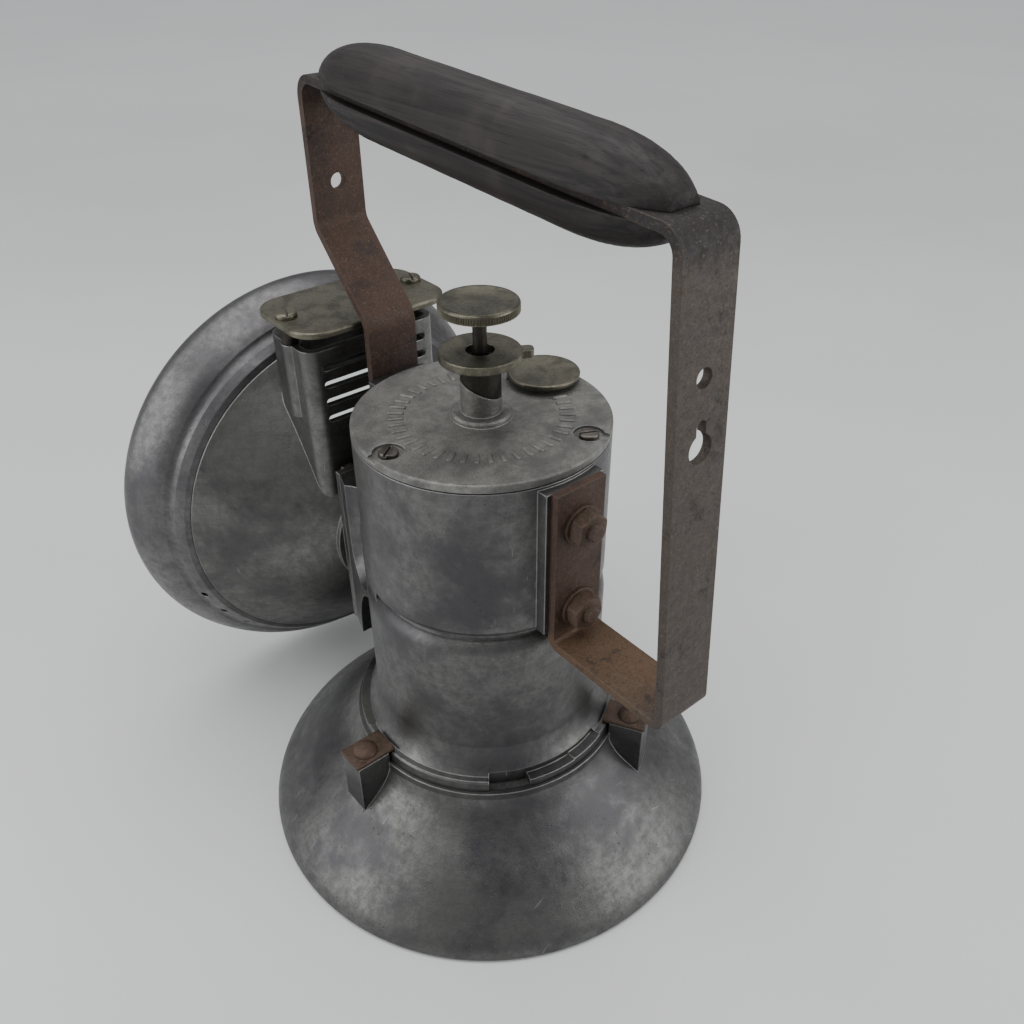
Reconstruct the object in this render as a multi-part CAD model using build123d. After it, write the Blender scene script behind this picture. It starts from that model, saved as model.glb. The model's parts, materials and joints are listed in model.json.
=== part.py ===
from build123d import *
import math
import os

# Carbide hand lamp: a flared base holding the carbide, a water tank on top of it,
# a lamp head facing -Y and a flat steel carrying handle with a wooden grip.
# Millimetres, +Z up, origin at the centre of the base's underside.

# ---- driving dimensions -------------------------------------------------------------
# heights along the lamp's upright axis
COLLAR_TOP = 49.6
FLANGE_THICK = 4.9
SKIRT_TOP = 113.0
TANK_BOTTOM = 125.5
TANK_TOP = 188.2
LID_THICK = 3.0
LID_GASKET_THICK = 0.6

# base
BASE_R = 100.6
COLLAR_R = 58.6
COLLAR_BORE_R = 50.2
RIM_SEAT_R = 94.5
FLOOR_THICK = 2.4
BASKET_R = 46.5
BASKET_WALL = 1.0
BASKET_HEIGHT = 40.0
BASE_GASKET_THICK = 2.1
BASE_GASKET_WIDTH = 5.4

# bayonet hooks between the base and the body
HOOK_COUNT = 3
HOOK_FIRST_ANGLE = 0.0
HOOK_TURN = 60.0
HOOK_WIDTH = 12.8
HOOK_THICK = 1.8
HOOK_OVERLAP = 2.4
LUG_DEPTH = 14.6
LUG_FOOT_Z = 20.0
RIVET_HEAD_R = 5.2
RIVET_HEAD_HEIGHT = 3.0
RIVET_R = 2.4
RIVET_DEPTH = 9.0
NOTCH_ANGLE = 17.0
RAMP_STEPS = ((8.5, 30.0, 1.5), (30.0, 47.0, 0.8))

# body casting
FLANGE_R = 57.0
SKIRT_R = 48.7
WAIST_R = 44.0
FLARE_HEIGHT = 11.4
TANK_R = 48.2
BODY_WALL = 3.6
TANK_FLOOR_THICK = 5.0
NECK_HALF_WIDTH = 28.2
NECK_BOTTOM = 66.0
NECK_TOP = 146.0
NECK_FACE_Y = -63.0
NECK_WIDE_ANGLE = 15.0
NECK_SINK = 1.2
NECK_ARCH_R = 46.0
NECK_SCOOP_R = 15.0
NECK_SCOOP_X = 41.5
NECK_SCOOP_Y = -43.5
NECK_SCOOP_Z = 117.0
REAR_PAD_Y = 50.9
FRONT_PAD_Y = -56.8
PAD_HALF_WIDTH = 13.0
PAD_TOP_DROP = 1.2

# lid
LID_SCREW_CIRCLE_R = 41.0
LID_SCREW_COUNT = 3
LID_SCREW_HEAD_R = 3.6
LID_SCREW_R = 1.9
LID_SCREW_LENGTH = 14.0
LID_POCKET_R = 5.6
LID_POCKET_DEPTH = 1.4
LID_BOSS_R = 11.4
LID_BOSS_HEIGHT = 2.2
CAM_R = 7.6
CAM_MID_HEIGHT = 11.2
CAM_HALF_RISE = 3.6
CAM_LOW_ANGLE = 140.0
CAM_GAP = 0.3

# filler
FILLER_X = -34.0
FILLER_Y = -6.2
FILLER_BORE_R = 6.0
FILLER_RIM_R = 9.0
FILLER_RIM_HEIGHT = 1.6
FILLER_CAP_R = 14.2
FILLER_CAP_THICK = 2.0
FILLER_PIN_R = 1.4
FILLER_PIN_REACH = 10.6

# water valve
STEM_R = 2.55
GUIDE_R = 4.6
GUIDE_BELOW_LID = 40.0
DISC_R = 15.0
DISC_THICK = 3.0
DISC_ABOVE_LID = 25.8
DISC_HOLE_R = 5.2
DISC_TAB_REACH = 4.2
DISC_TAB_WIDTH = 5.0
DISC_TAB_ANGLE = 150.0
KNOB_R = 14.4
KNOB_THICK = 3.6
KNOB_ABOVE_LID = 44.2
SEAT_R = 6.0
SEAT_HEIGHT = 9.0
DRIP_BORE_R = 2.0
DRIP_TUBE_R = 3.4
DRIP_TUBE_LENGTH = 54.0
NEEDLE_TIP_R = 1.2
NEEDLE_CONE = 3.0

# gas side
FILTER_PLATE_Z = 98.0
FILTER_PLATE_THICK = 1.2
FELT_THICK = 6.0
GAS_TUBE_R = 4.0
GAS_TUBE_BORE_R = 2.4
GAS_TUBE_DROP = 14.0
BURNER_Y = -97.0
BURNER_R = 5.0
BURNER_HEIGHT = 9.0
TIP_R = 3.6
TIP_HEIGHT = 11.0
TUBE_NUT_FLATS = 14.0
TUBE_NUT_THICK = 5.0

# head
HEAD_Z = 106.0
BOWL_BACK_Y = -66.0
BOWL_BACK_R = 26.0
HEAD_FLANGE_THICK = 3.0
HEAD_BOSS_R = 31.0
SEAM_Y = -109.8
SEAM_R = 80.0
BOWL_WALL = 3.0
SPIGOT_R = 77.6
SPIGOT_LENGTH = 11.4
SPIGOT_WALL = 2.4
RING_R = 98.2
RING_WIDEST_Y = -138.0
RING_FRONT_Y = -147.0
RING_LIP_R = 92.6
RING_WALL = 2.4
LENS_R = 87.0
LENS_THICK = 3.2
LENS_LAP = 3.5
LIP_THICK = 2.4
LENS_GASKET_THICK = 1.2
RETAINER_THICK = 1.6
REFLECTOR_FOCUS = 28.0
REFLECTOR_WALL = 0.9
REFLECTOR_HOLE_R = 19.5
CHIMNEY_HALF_WIDTH = 22.0
AIR_HOLE_R = 1.9
AIR_HOLE_DEPTH = 6.0
AIR_HOLE_TILT = 40.0
AIR_HOLE_CIRCLE_R = 85.4
AIR_HOLE_COUNT = 4
AIR_HOLE_FIRST_ANGLE = 36.5
AIR_HOLE_PITCH = 10.6
HEAD_SCREW_X = 21.0
HEAD_SCREW_Z = (71.0, 141.0)
HEAD_SCREW_R = 2.4
HEAD_SCREW_FLATS = 8.0
HEAD_SCREW_HEAD_THICK = 3.4
HEAD_SCREW_BITE = 8.0

# vent on top of the head
VENT_HALF_WIDTH = 31.5
VENT_REAR_Y = -71.5
VENT_FRONT_Y = -104.0
VENT_TOP = 198.5
VENT_WALL = 3.0
VENT_CORNER_R = 6.5
SLOT_HALF_LENGTH = 25.0
SLOT_HEIGHT = 3.2
SLOT_TOP_Z = 190.9
SLOT_PITCH = 7.8
SLOT_COUNT = 4
COVER_HALF_WIDTH = 35.6
COVER_REAR_Y = -63.4
COVER_FRONT_Y = -108.0
COVER_TOP = 209.6
COVER_THICK = 2.4
COVER_CORNER_R = 12.0
COVER_SCREW_X = 29.9
COVER_SCREW_Y = -87.0
SPACER_R = 3.4
COVER_SCREW_R = 1.8
COVER_SCREW_HEAD_R = 4.4
COVER_SCREW_HEAD_HEIGHT = 2.2
COVER_SCREW_DEPTH = 12.0

# handle
STRAP_WIDTH = 22.2
STRAP_THICK = 3.2
STRAP_BEND_R = (3.2, 3.4, 7.0, 7.0, 7.0, 9.0)
STRAP_FOOT_DROP = 0.8
STRAP_FLOOR_Z = 123.1
STRAP_REAR_LOW_Y = 107.8
STRAP_REAR_HIGH_Y = 95.6
STRAP_REAR_ABOVE_KNOB = 50.6
STRAP_FRONT_ABOVE_KNOB = 61.2
STRAP_FRONT_Y = -90.2
STRAP_KNEE_HIGH_ABOVE = 52.8
STRAP_KNEE_LOW_ABOVE = 21.6
STRAP_FRONT_END_BELOW = 38.2
REAR_STUDS_BELOW = (16.3, 52.6)
FRONT_STUDS_BELOW = (10.2, 29.2)
STUD_R = 3.1
STUD_DEPTH = 4.6
STUD_PROUD = 2.2
NUT_FLATS = 12.0
NUT_THICK = 5.4
WASHER_R = 7.6
WASHER_THICK = 1.2
SMALL_HOLE_R = 3.15
SMALL_HOLE_BELOW_TOP = 42.1
KEYHOLE_R = 4.75
KEYHOLE_BELOW_TOP = 63.6
KEYHOLE_SLOT_R = 2.0
KEYHOLE_SLOT_LENGTH = 7.0
FRONT_HOLE_BELOW_TOP = 40.2

# grip
GRIP_R = 15.2
GRIP_END_R = 6.0
GRIP_REAR_Y = 86.0
GRIP_FRONT_Y = -82.0
GRIP_TAPER = 36.0
GRIP_SCREW_Y = (48.0, -42.0)
GRIP_SCREW_R = 2.0
GRIP_SCREW_HEAD_R = 4.2
GRIP_SCREW_BITE = 8.0

# clearances
RUNNING_FIT = 0.06
PART_GAP = 0.3
LOOSE_GAP = 0.4
HOLE_EASE = 0.1

# ---- worked-out places --------------------------------------------------------------
RIM_SEAT_Z = FLOOR_THICK
FLANGE_BOTTOM = COLLAR_TOP + PART_GAP
FLANGE_TOP = FLANGE_BOTTOM + FLANGE_THICK
HOOK_BOTTOM = FLANGE_TOP + LOOSE_GAP
HOOK_TIP_R = FLANGE_R - HOOK_OVERLAP
LUG_INNER_R = FLANGE_R + 2 * LOOSE_GAP
LUG_OUTER_R = LUG_INNER_R + LUG_DEPTH
LID_BOTTOM = TANK_TOP + LID_GASKET_THICK
LID_TOP = LID_BOTTOM + LID_THICK
TANK_INNER_R = TANK_R - BODY_WALL
WAIST_INNER_R = WAIST_R - BODY_WALL
CHAMBER_R = SKIRT_R - BODY_WALL
CHAMBER_TOP = SKIRT_TOP + 5.0
TANK_FLOOR_TOP = CHAMBER_TOP + TANK_FLOOR_THICK
CAM_MID_Z = LID_TOP + CAM_MID_HEIGHT
DISC_TOP = LID_TOP + DISC_ABOVE_LID
KNOB_TOP = LID_TOP + KNOB_ABOVE_LID
STRAP_FOOT_TOP = TANK_TOP - STRAP_FOOT_DROP
STRAP_REAR_TOP = KNOB_TOP + STRAP_REAR_ABOVE_KNOB
STRAP_FRONT_TOP = KNOB_TOP + STRAP_FRONT_ABOVE_KNOB
STRAP_KNEE_HIGH_Z = TANK_TOP + STRAP_KNEE_HIGH_ABOVE
STRAP_KNEE_LOW_Z = TANK_TOP + STRAP_KNEE_LOW_ABOVE
STRAP_FRONT_END = TANK_TOP - STRAP_FRONT_END_BELOW
REAR_STUD_Z = [TANK_TOP - below for below in REAR_STUDS_BELOW]
FRONT_STUD_Z = [TANK_TOP - below for below in FRONT_STUDS_BELOW]
SMALL_HOLE_Z = STRAP_REAR_TOP - SMALL_HOLE_BELOW_TOP
KEYHOLE_Z = STRAP_REAR_TOP - KEYHOLE_BELOW_TOP
FRONT_HOLE_Z = STRAP_FRONT_TOP - FRONT_HOLE_BELOW_TOP
LENS_OPENING_R = LENS_R - LENS_LAP
SEAT_BOTTOM = CHAMBER_TOP - 2.0
SEAT_TOP = SEAT_BOTTOM + SEAT_HEIGHT
CAP_BOTTOM = LID_TOP + FILLER_RIM_HEIGHT + PART_GAP
GAS_TUBE_Z = HEAD_Z - GAS_TUBE_DROP
SPIGOT_END_Y = SEAM_Y - SPIGOT_LENGTH
LIP_Y = RING_FRONT_Y + LIP_THICK
LENS_FRONT_Y = LIP_Y + LENS_GASKET_THICK
LENS_BACK_Y = LENS_FRONT_Y + LENS_THICK
REFLECTOR_RIM_R = SPIGOT_R - SPIGOT_WALL - 0.6
COVER_BOTTOM = COVER_TOP - COVER_THICK
FOOT_REAR_OUTER_Y = REAR_PAD_Y + STRAP_THICK
FOOT_FRONT_OUTER_Y = FRONT_PAD_Y - STRAP_THICK
HEAD_AXIS = Axis((0, 0, HEAD_Z), (0, 1, 0))
LOW = (Align.CENTER, Align.CENTER, Align.MIN)


# ---- helpers ------------------------------------------------------------------------
def rod(radius, bottom, top, x=0.0, y=0.0):
    """Upright cylinder between two heights."""
    return Pos(x, y, bottom) * Cylinder(radius, top - bottom, align=LOW)


def washer(outer, inner, bottom, top, x=0.0, y=0.0):
    """Upright ring between two heights."""
    return rod(outer, bottom, top, x, y) - rod(inner, bottom - 1, top + 1, x, y)


def rod_y(radius, y_from, y_to, x, z):
    """Cylinder along Y between two places."""
    low = min(y_from, y_to)
    return Pos(x, low, z) * Rot(-90, 0, 0) * Cylinder(radius, abs(y_to - y_from), align=LOW)


def block(x_from, x_to, y_from, y_to, z_from, z_to):
    """Box between two corners."""
    size = Box(x_to - x_from, y_to - y_from, z_to - z_from)
    middle = ((x_from + x_to) / 2, (y_from + y_to) / 2, (z_from + z_to) / 2)
    return Pos(*middle) * size


def rounded_block(half_x, y_from, y_to, z_from, z_to, corner):
    """Upright box, symmetric about x = 0, with round vertical corners."""
    outline = RectangleRounded(2 * half_x, y_to - y_from, corner)
    return extrude(Pos(0, (y_from + y_to) / 2, z_from) * outline, amount=z_to - z_from)


def turned(edges):
    """Solid turned about the upright axis from a closed outline in the XZ plane."""
    return revolve(make_face(edges), Axis.Z, 360)


def turned_head(edges):
    """Solid turned about the head's axis from a closed outline in the YZ plane."""
    return revolve(make_face(edges), HEAD_AXIS, 360)


def rz(points):
    """Radius and height pairs as points of the XZ plane."""
    return [(radius, 0, height) for radius, height in points]


def yr(points):
    """Place along the head's axis and radius pairs as points of the YZ plane."""
    return [(0, y, HEAD_Z + radius) for y, radius in points]


def sector(r_in, r_out, angle_from, angle_to, bottom, top):
    """Part of a ring between two angles."""
    outline = Polyline(*rz([(r_in, bottom), (r_out, bottom), (r_out, top), (r_in, top)]), close=True)
    piece = revolve(make_face(outline), Axis.Z, angle_to - angle_from)
    return Rot(0, 0, angle_from) * piece


def around(count, first_angle=0.0):
    """Angles of equally spaced features."""
    return [first_angle + index * 360.0 / count for index in range(count)]


def group(pieces):
    """Separate like solids kept as one node."""
    return Compound(children=[piece.solid() for piece in pieces])


def hexagon_y(flats, y_from, y_to, x, z):
    """Hexagonal prism along Y, one corner pointing up."""
    low = min(y_from, y_to)
    prism = extrude(RegularPolygon(flats / 2, 6, major_radius=False), amount=abs(y_to - y_from))
    return Pos(x, low, z) * Rot(-90, 0, 0) * prism


def slotted(head, x, y, z_top, width, depth, length, angle=0.0):
    """Cuts a screwdriver slot in the top of an upright screw head."""
    cut = Pos(x, y, z_top - depth / 2) * Rot(0, 0, angle) * Box(length, width, depth)
    return head - cut


# ---- base ---------------------------------------------------------------------------
def base_bell():
    neck_z = COLLAR_TOP - 3.4
    outer = rz([(COLLAR_R, neck_z), (COLLAR_R + 3.6, COLLAR_TOP - 10.2),
                (COLLAR_R + 11.4, COLLAR_TOP - 17.4), (BASE_R - 18.2, 22.2),
                (BASE_R - 7.4, 11.4), (BASE_R - 1.4, 4.6), (BASE_R, 1.2)])
    inner = rz([(RIM_SEAT_R - 3.4, RIM_SEAT_Z), (BASE_R - 12.6, 9.2), (BASE_R - 21.4, 18.8),
                (COLLAR_R + 8.4, COLLAR_TOP - 21.0), (COLLAR_BORE_R + 6.0, COLLAR_TOP - 14.4),
                (COLLAR_BORE_R, COLLAR_TOP - 7.4)])
    seat_r = COLLAR_BORE_R + BASE_GASKET_WIDTH + 0.6
    seat_z = COLLAR_TOP - BASE_GASKET_THICK
    shell = turned([
        Line(*rz([(COLLAR_R, COLLAR_TOP), (COLLAR_R, neck_z)])),
        Spline(*outer),
        Polyline(outer[-1], *rz([(BASE_R - 1.2, 0), (RIM_SEAT_R, 0),
                                 (RIM_SEAT_R, RIM_SEAT_Z)]), inner[0]),
        Spline(*inner),
        Polyline(inner[-1], *rz([(COLLAR_BORE_R, seat_z), (seat_r, seat_z), (seat_r, COLLAR_TOP),
                                 (COLLAR_R, COLLAR_TOP)])),
    ])
    hollow = turned([
        Spline(*inner),
        Polyline(inner[-1], *rz([(0, COLLAR_TOP - 7.4), (0, RIM_SEAT_Z)]), inner[0]),
    ])
    for angle in around(HOOK_COUNT, HOOK_FIRST_ANGLE):
        lug = block(LUG_INNER_R, LUG_OUTER_R, -HOOK_WIDTH / 2, HOOK_WIDTH / 2, LUG_FOOT_Z, HOOK_BOTTOM)
        lug = lug - rod(RIVET_R, HOOK_BOTTOM - RIVET_DEPTH, HOOK_BOTTOM + 1, rivet_r())
        shell = shell + (Rot(0, 0, angle) * lug - hollow)
    return shell


def rivet_r():
    """Distance of a hook's rivet from the lamp's axis."""
    return (LUG_INNER_R + LUG_OUTER_R) / 2


def base_floor():
    return rod(RIM_SEAT_R - HOLE_EASE, RIM_SEAT_Z - FLOOR_THICK, RIM_SEAT_Z)


def base_gasket():
    bottom = COLLAR_TOP - BASE_GASKET_THICK
    inner = COLLAR_BORE_R + 0.4
    return washer(inner + BASE_GASKET_WIDTH, inner, bottom, COLLAR_TOP)


def carbide_basket():
    cup = rod(BASKET_R, RIM_SEAT_Z, RIM_SEAT_Z + BASKET_HEIGHT)
    cup = cup - rod(BASKET_R - BASKET_WALL, RIM_SEAT_Z + BASKET_WALL, RIM_SEAT_Z + BASKET_HEIGHT + 1)
    bead_z = RIM_SEAT_Z + BASKET_HEIGHT - 2
    return cup + washer(BASKET_R + 1.4, BASKET_R - 0.2, bead_z, bead_z + 2)


def hook_plates():
    plates = []
    for angle in around(HOOK_COUNT, HOOK_FIRST_ANGLE):
        plate = block(HOOK_TIP_R, LUG_OUTER_R + 0.8, -HOOK_WIDTH / 2, HOOK_WIDTH / 2,
                      HOOK_BOTTOM, HOOK_BOTTOM + HOOK_THICK)
        plate = plate - rod(RIVET_R, HOOK_BOTTOM - 1, HOOK_BOTTOM + HOOK_THICK + 1, rivet_r())
        plates.append(Rot(0, 0, angle) * plate)
    return group(plates)


def hook_rivets():
    rivets = []
    top = HOOK_BOTTOM + HOOK_THICK
    for angle in around(HOOK_COUNT, HOOK_FIRST_ANGLE):
        rivet = rod(RIVET_R, HOOK_BOTTOM - RIVET_DEPTH, top + 0.1, rivet_r())
        dome_r = (RIVET_HEAD_R ** 2 + RIVET_HEAD_HEIGHT ** 2) / (2 * RIVET_HEAD_HEIGHT)
        dome = Pos(rivet_r(), 0, top + RIVET_HEAD_HEIGHT - dome_r) * Sphere(dome_r)
        head = dome & rod(RIVET_HEAD_R + 1, top, top + RIVET_HEAD_HEIGHT + 1, rivet_r())
        rivets.append(Rot(0, 0, angle) * (rivet + head))
    return group(rivets)


# ---- body casting with skirt, waist, tank and neck ------------------------------------
def body_outline():
    flare_top = FLANGE_TOP + FLARE_HEIGHT
    groove_z = TANK_BOTTOM - 3.0
    return [
        Polyline(*rz([(0, FLANGE_BOTTOM), (FLANGE_R, FLANGE_BOTTOM), (FLANGE_R, FLANGE_TOP - 0.6),
                      (FLANGE_R - 0.6, FLANGE_TOP), (FLANGE_R - 3.0, FLANGE_TOP + 0.1)])),
        ThreePointArc(*rz([(FLANGE_R - 3.0, FLANGE_TOP + 0.1), (SKIRT_R + 2.0, FLANGE_TOP + 4.4),
                           (SKIRT_R, flare_top)])),
        Line(*rz([(SKIRT_R, flare_top), (SKIRT_R, SKIRT_TOP)])),
        ThreePointArc(*rz([(SKIRT_R, SKIRT_TOP), (SKIRT_R - 0.9, SKIRT_TOP + 4.4),
                           (WAIST_R + 1.2, groove_z - 2.0)])),
        ThreePointArc(*rz([(WAIST_R + 1.2, groove_z - 2.0), (WAIST_R, groove_z),
                           (WAIST_R + 1.4, groove_z + 1.8)])),
        ThreePointArc(*rz([(WAIST_R + 1.4, groove_z + 1.8), (TANK_R - 0.7, TANK_BOTTOM + 0.2),
                           (TANK_R, TANK_BOTTOM + 2.0)])),
        Polyline(*rz([(TANK_R, TANK_BOTTOM + 2.0), (TANK_R, TANK_TOP), (0, TANK_TOP), (0, FLANGE_BOTTOM)])),
    ]


def neck():
    """Bracket between the body and the head: it widens to meet the tank, with an arch below and a scoop at each side."""
    wide = math.radians(NECK_WIDE_ANGLE)
    wide_x = (TANK_R - NECK_SINK) * math.cos(wide)
    wide_y = -(TANK_R - NECK_SINK) * math.sin(wide)
    plan = Polyline((-NECK_HALF_WIDTH, NECK_FACE_Y), (NECK_HALF_WIDTH, NECK_FACE_Y), (wide_x, wide_y),
                    (-wide_x, wide_y), close=True)
    web = extrude(Pos(0, 0, NECK_BOTTOM) * make_face(plan), amount=NECK_TOP - NECK_BOTTOM)
    arch = Pos(0, NECK_FACE_Y + NECK_ARCH_R + 10, NECK_BOTTOM) * Rot(0, 90, 0) * Cylinder(NECK_ARCH_R, 4 * TANK_R)
    web = web - arch
    for side in (-1, 1):
        scoop = rod(NECK_SCOOP_R, NECK_SCOOP_Z, NECK_TOP + 1, side * NECK_SCOOP_X, NECK_SCOOP_Y)
        web = web - scoop - Pos(side * NECK_SCOOP_X, NECK_SCOOP_Y, NECK_SCOOP_Z) * Sphere(NECK_SCOOP_R)
    return web


def body_hollows():
    tank = turned(Polyline(*rz([
        (0, TANK_FLOOR_TOP), (WAIST_INNER_R, TANK_FLOOR_TOP), (WAIST_INNER_R, TANK_BOTTOM),
        (TANK_INNER_R, TANK_BOTTOM + 4.4), (TANK_INNER_R, TANK_TOP + 1), (0, TANK_TOP + 1)]), close=True))
    chamber = turned(Polyline(*rz([
        (0, FLANGE_BOTTOM - 1), (CHAMBER_R, FLANGE_BOTTOM - 1), (CHAMBER_R, SKIRT_TOP - 5),
        (WAIST_INNER_R, SKIRT_TOP), (WAIST_INNER_R, CHAMBER_TOP), (0, CHAMBER_TOP)]), close=True))
    return tank, chamber


def lid_screw_places():
    """Centres of the lid's screws."""
    return [(LID_SCREW_CIRCLE_R * math.cos(math.radians(angle)),
             LID_SCREW_CIRCLE_R * math.sin(math.radians(angle))) for angle in around(LID_SCREW_COUNT)]


def body_casting():
    body = turned(body_outline())
    pad_top = TANK_TOP - PAD_TOP_DROP
    body = body + block(-PAD_HALF_WIDTH, PAD_HALF_WIDTH, 0, REAR_PAD_Y, STRAP_FLOOR_Z + 3, pad_top)
    body = body + block(-PAD_HALF_WIDTH, PAD_HALF_WIDTH, FRONT_PAD_Y, 0, STRAP_FRONT_END - 4, pad_top)
    body = body + neck()
    tank, chamber = body_hollows()
    body = body - tank - chamber
    for x, y in lid_screw_places():
        boss = rod(LID_SCREW_R + 3, TANK_TOP - LID_SCREW_LENGTH - 4, TANK_TOP, x, y)
        body = body + (boss & rod(TANK_R - 1, TANK_BOTTOM, TANK_TOP))
        body = body - rod(LID_SCREW_R, TANK_TOP - LID_SCREW_LENGTH, TANK_TOP + 1, x, y)
    for angle in around(HOOK_COUNT, HOOK_FIRST_ANGLE + HOOK_TURN):
        half = NOTCH_ANGLE / 2
        body = body - sector(FLANGE_R - 4.2, FLANGE_R + 2, angle - half, angle + half,
                             FLANGE_BOTTOM - 1, FLANGE_TOP + 2)
        for start, end, drop in RAMP_STEPS:
            body = body - sector(FLANGE_R - 4.2, FLANGE_R + 2, angle + start, angle + end,
                                 FLANGE_TOP - drop, FLANGE_TOP + 2)
    for z in REAR_STUD_Z:
        body = body - rod_y(STUD_R, REAR_PAD_Y - STUD_DEPTH, REAR_PAD_Y + 1, 0, z)
    for z in FRONT_STUD_Z:
        body = body - rod_y(STUD_R, FRONT_PAD_Y - 1, FRONT_PAD_Y + STUD_DEPTH, 0, z)
    for x in (-HEAD_SCREW_X, HEAD_SCREW_X):
        for z in HEAD_SCREW_Z:
            body = body - rod_y(HEAD_SCREW_R, NECK_FACE_Y - 1, NECK_FACE_Y + HEAD_SCREW_BITE, x, z)
    body = body - rod(SEAT_R, CHAMBER_TOP - 1, TANK_FLOOR_TOP + 1)
    body = body - rod_y(GAS_TUBE_R, NECK_FACE_Y - 1, -SKIRT_R + 10, 0, GAS_TUBE_Z)
    return body


def valve_seat():
    seat = rod(SEAT_R, SEAT_BOTTOM, SEAT_TOP)
    return seat - rod(DRIP_BORE_R, SEAT_BOTTOM - 1, SEAT_TOP + 1)


def drip_tube():
    return washer(DRIP_TUBE_R, DRIP_BORE_R, SEAT_BOTTOM - DRIP_TUBE_LENGTH, SEAT_BOTTOM)


def filter_plate():
    top = FILTER_PLATE_Z + FILTER_PLATE_THICK
    plate = washer(CHAMBER_R - HOLE_EASE, DRIP_TUBE_R + PART_GAP, FILTER_PLATE_Z, top)
    for circle_r, count in ((14.0, 8), (24.0, 12), (34.0, 16)):
        for angle in around(count):
            x = circle_r * math.cos(math.radians(angle))
            y = circle_r * math.sin(math.radians(angle))
            plate = plate - rod(1.8, FILTER_PLATE_Z - 1, top + 1, x, y)
    return plate


def felt_filter():
    bottom = FILTER_PLATE_Z + FILTER_PLATE_THICK
    return washer(CHAMBER_R - 3, DRIP_TUBE_R + PART_GAP, bottom, bottom + FELT_THICK)


# ---- lid and filler -------------------------------------------------------------------
def cam_side(above, gap):
    """Half space on one side of the slanting cam face, as a large box."""
    slope = math.degrees(math.atan2(CAM_HALF_RISE, CAM_R))
    size = 60.0
    middle = size / 2 + gap if above else -size / 2 - gap
    face = Pos(0, 0, CAM_MID_Z) * Rot(0, 0, CAM_LOW_ANGLE) * Rot(0, slope, 0)
    return face * Pos(0, 0, middle) * Box(size, size, size)


def lid():
    disc = rod(TANK_R, LID_BOTTOM, LID_TOP)
    disc = fillet(disc.edges().group_by(Axis.Z)[-1], 0.8)
    boss = rod(LID_BOSS_R, LID_TOP - 1, LID_TOP + LID_BOSS_HEIGHT)
    boss = fillet(boss.edges().group_by(Axis.Z)[-1], 1.2)
    cam = rod(CAM_R, LID_TOP, CAM_MID_Z + CAM_HALF_RISE + 2) - cam_side(True, 0)
    disc = disc + boss + cam
    disc = disc + rod(FILLER_RIM_R, LID_TOP - 1, LID_TOP + FILLER_RIM_HEIGHT, FILLER_X, FILLER_Y)
    pin_x, pin_y = filler_pin_place()
    disc = disc + (rod(FILLER_PIN_R + 1.6, LID_TOP - 1, LID_TOP + FILLER_RIM_HEIGHT, pin_x, pin_y)
                   & rod(TANK_R, LID_BOTTOM, LID_TOP + 10))
    for (x, y), angle in zip(lid_screw_places(), around(LID_SCREW_COUNT)):
        floor = LID_TOP - LID_POCKET_DEPTH
        outward = Rot(0, 0, angle) * block(LID_SCREW_CIRCLE_R, TANK_R + 2, -2.4, 2.4, floor, LID_TOP + 1)
        disc = disc - rod(LID_POCKET_R, floor, LID_TOP + 1, x, y) - outward
        disc = disc - rod(LID_SCREW_R, LID_BOTTOM - 1, LID_TOP + 1, x, y)
    disc = disc - rod(GUIDE_R + RUNNING_FIT, LID_BOTTOM - 1, CAM_MID_Z + 20)
    disc = disc - rod(FILLER_BORE_R, LID_BOTTOM - 1, LID_TOP + 5, FILLER_X, FILLER_Y)
    disc = disc - rod(FILLER_PIN_R, LID_BOTTOM + 0.6, LID_TOP + 5, pin_x, pin_y)
    return disc


def filler_pin_place():
    """The filler cap's pivot, outward of the filler hole."""
    reach = math.hypot(FILLER_X, FILLER_Y)
    factor = (reach + FILLER_PIN_REACH - 1.0) / reach
    return FILLER_X * factor, FILLER_Y * factor


def filler_cap():
    pin_x, pin_y = filler_pin_place()
    cap = rod(FILLER_CAP_R, CAP_BOTTOM, CAP_BOTTOM + FILLER_CAP_THICK, FILLER_X - 1.6, FILLER_Y)
    cap = fillet(cap.edges().group_by(Axis.Z)[-1], 0.7)
    return cap - rod(FILLER_PIN_R + RUNNING_FIT, CAP_BOTTOM - 1, CAP_BOTTOM + 5, pin_x, pin_y)


def filler_pin():
    pin_x, pin_y = filler_pin_place()
    return rod(FILLER_PIN_R, LID_BOTTOM + 0.6, CAP_BOTTOM + FILLER_CAP_THICK - 0.4, pin_x, pin_y)


def lid_gasket():
    ring = washer(TANK_R - 0.6, TANK_INNER_R, TANK_TOP, LID_BOTTOM)
    for x, y in lid_screw_places():
        ring = ring - rod(LID_SCREW_R + 0.4, TANK_TOP - 1, LID_BOTTOM + 1, x, y)
    return ring


def lid_screws():
    screws = []
    seat = LID_TOP - LID_POCKET_DEPTH
    for (x, y), angle in zip(lid_screw_places(), around(LID_SCREW_COUNT, 35.0)):
        head = rod(LID_SCREW_HEAD_R, seat, seat + 1.9, x, y)
        head = fillet(head.edges().group_by(Axis.Z)[-1], 0.7)
        head = slotted(head, x, y, seat + 1.9, 0.9, 0.9, 8.0, angle)
        screws.append(head + rod(LID_SCREW_R, TANK_TOP - LID_SCREW_LENGTH, seat + 0.1, x, y))
    return group(screws)


# ---- water valve ----------------------------------------------------------------------
def valve_guide():
    top = DISC_TOP - DISC_THICK - 1.0
    return washer(GUIDE_R, STEM_R + RUNNING_FIT, LID_BOTTOM - GUIDE_BELOW_LID, top)


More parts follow.
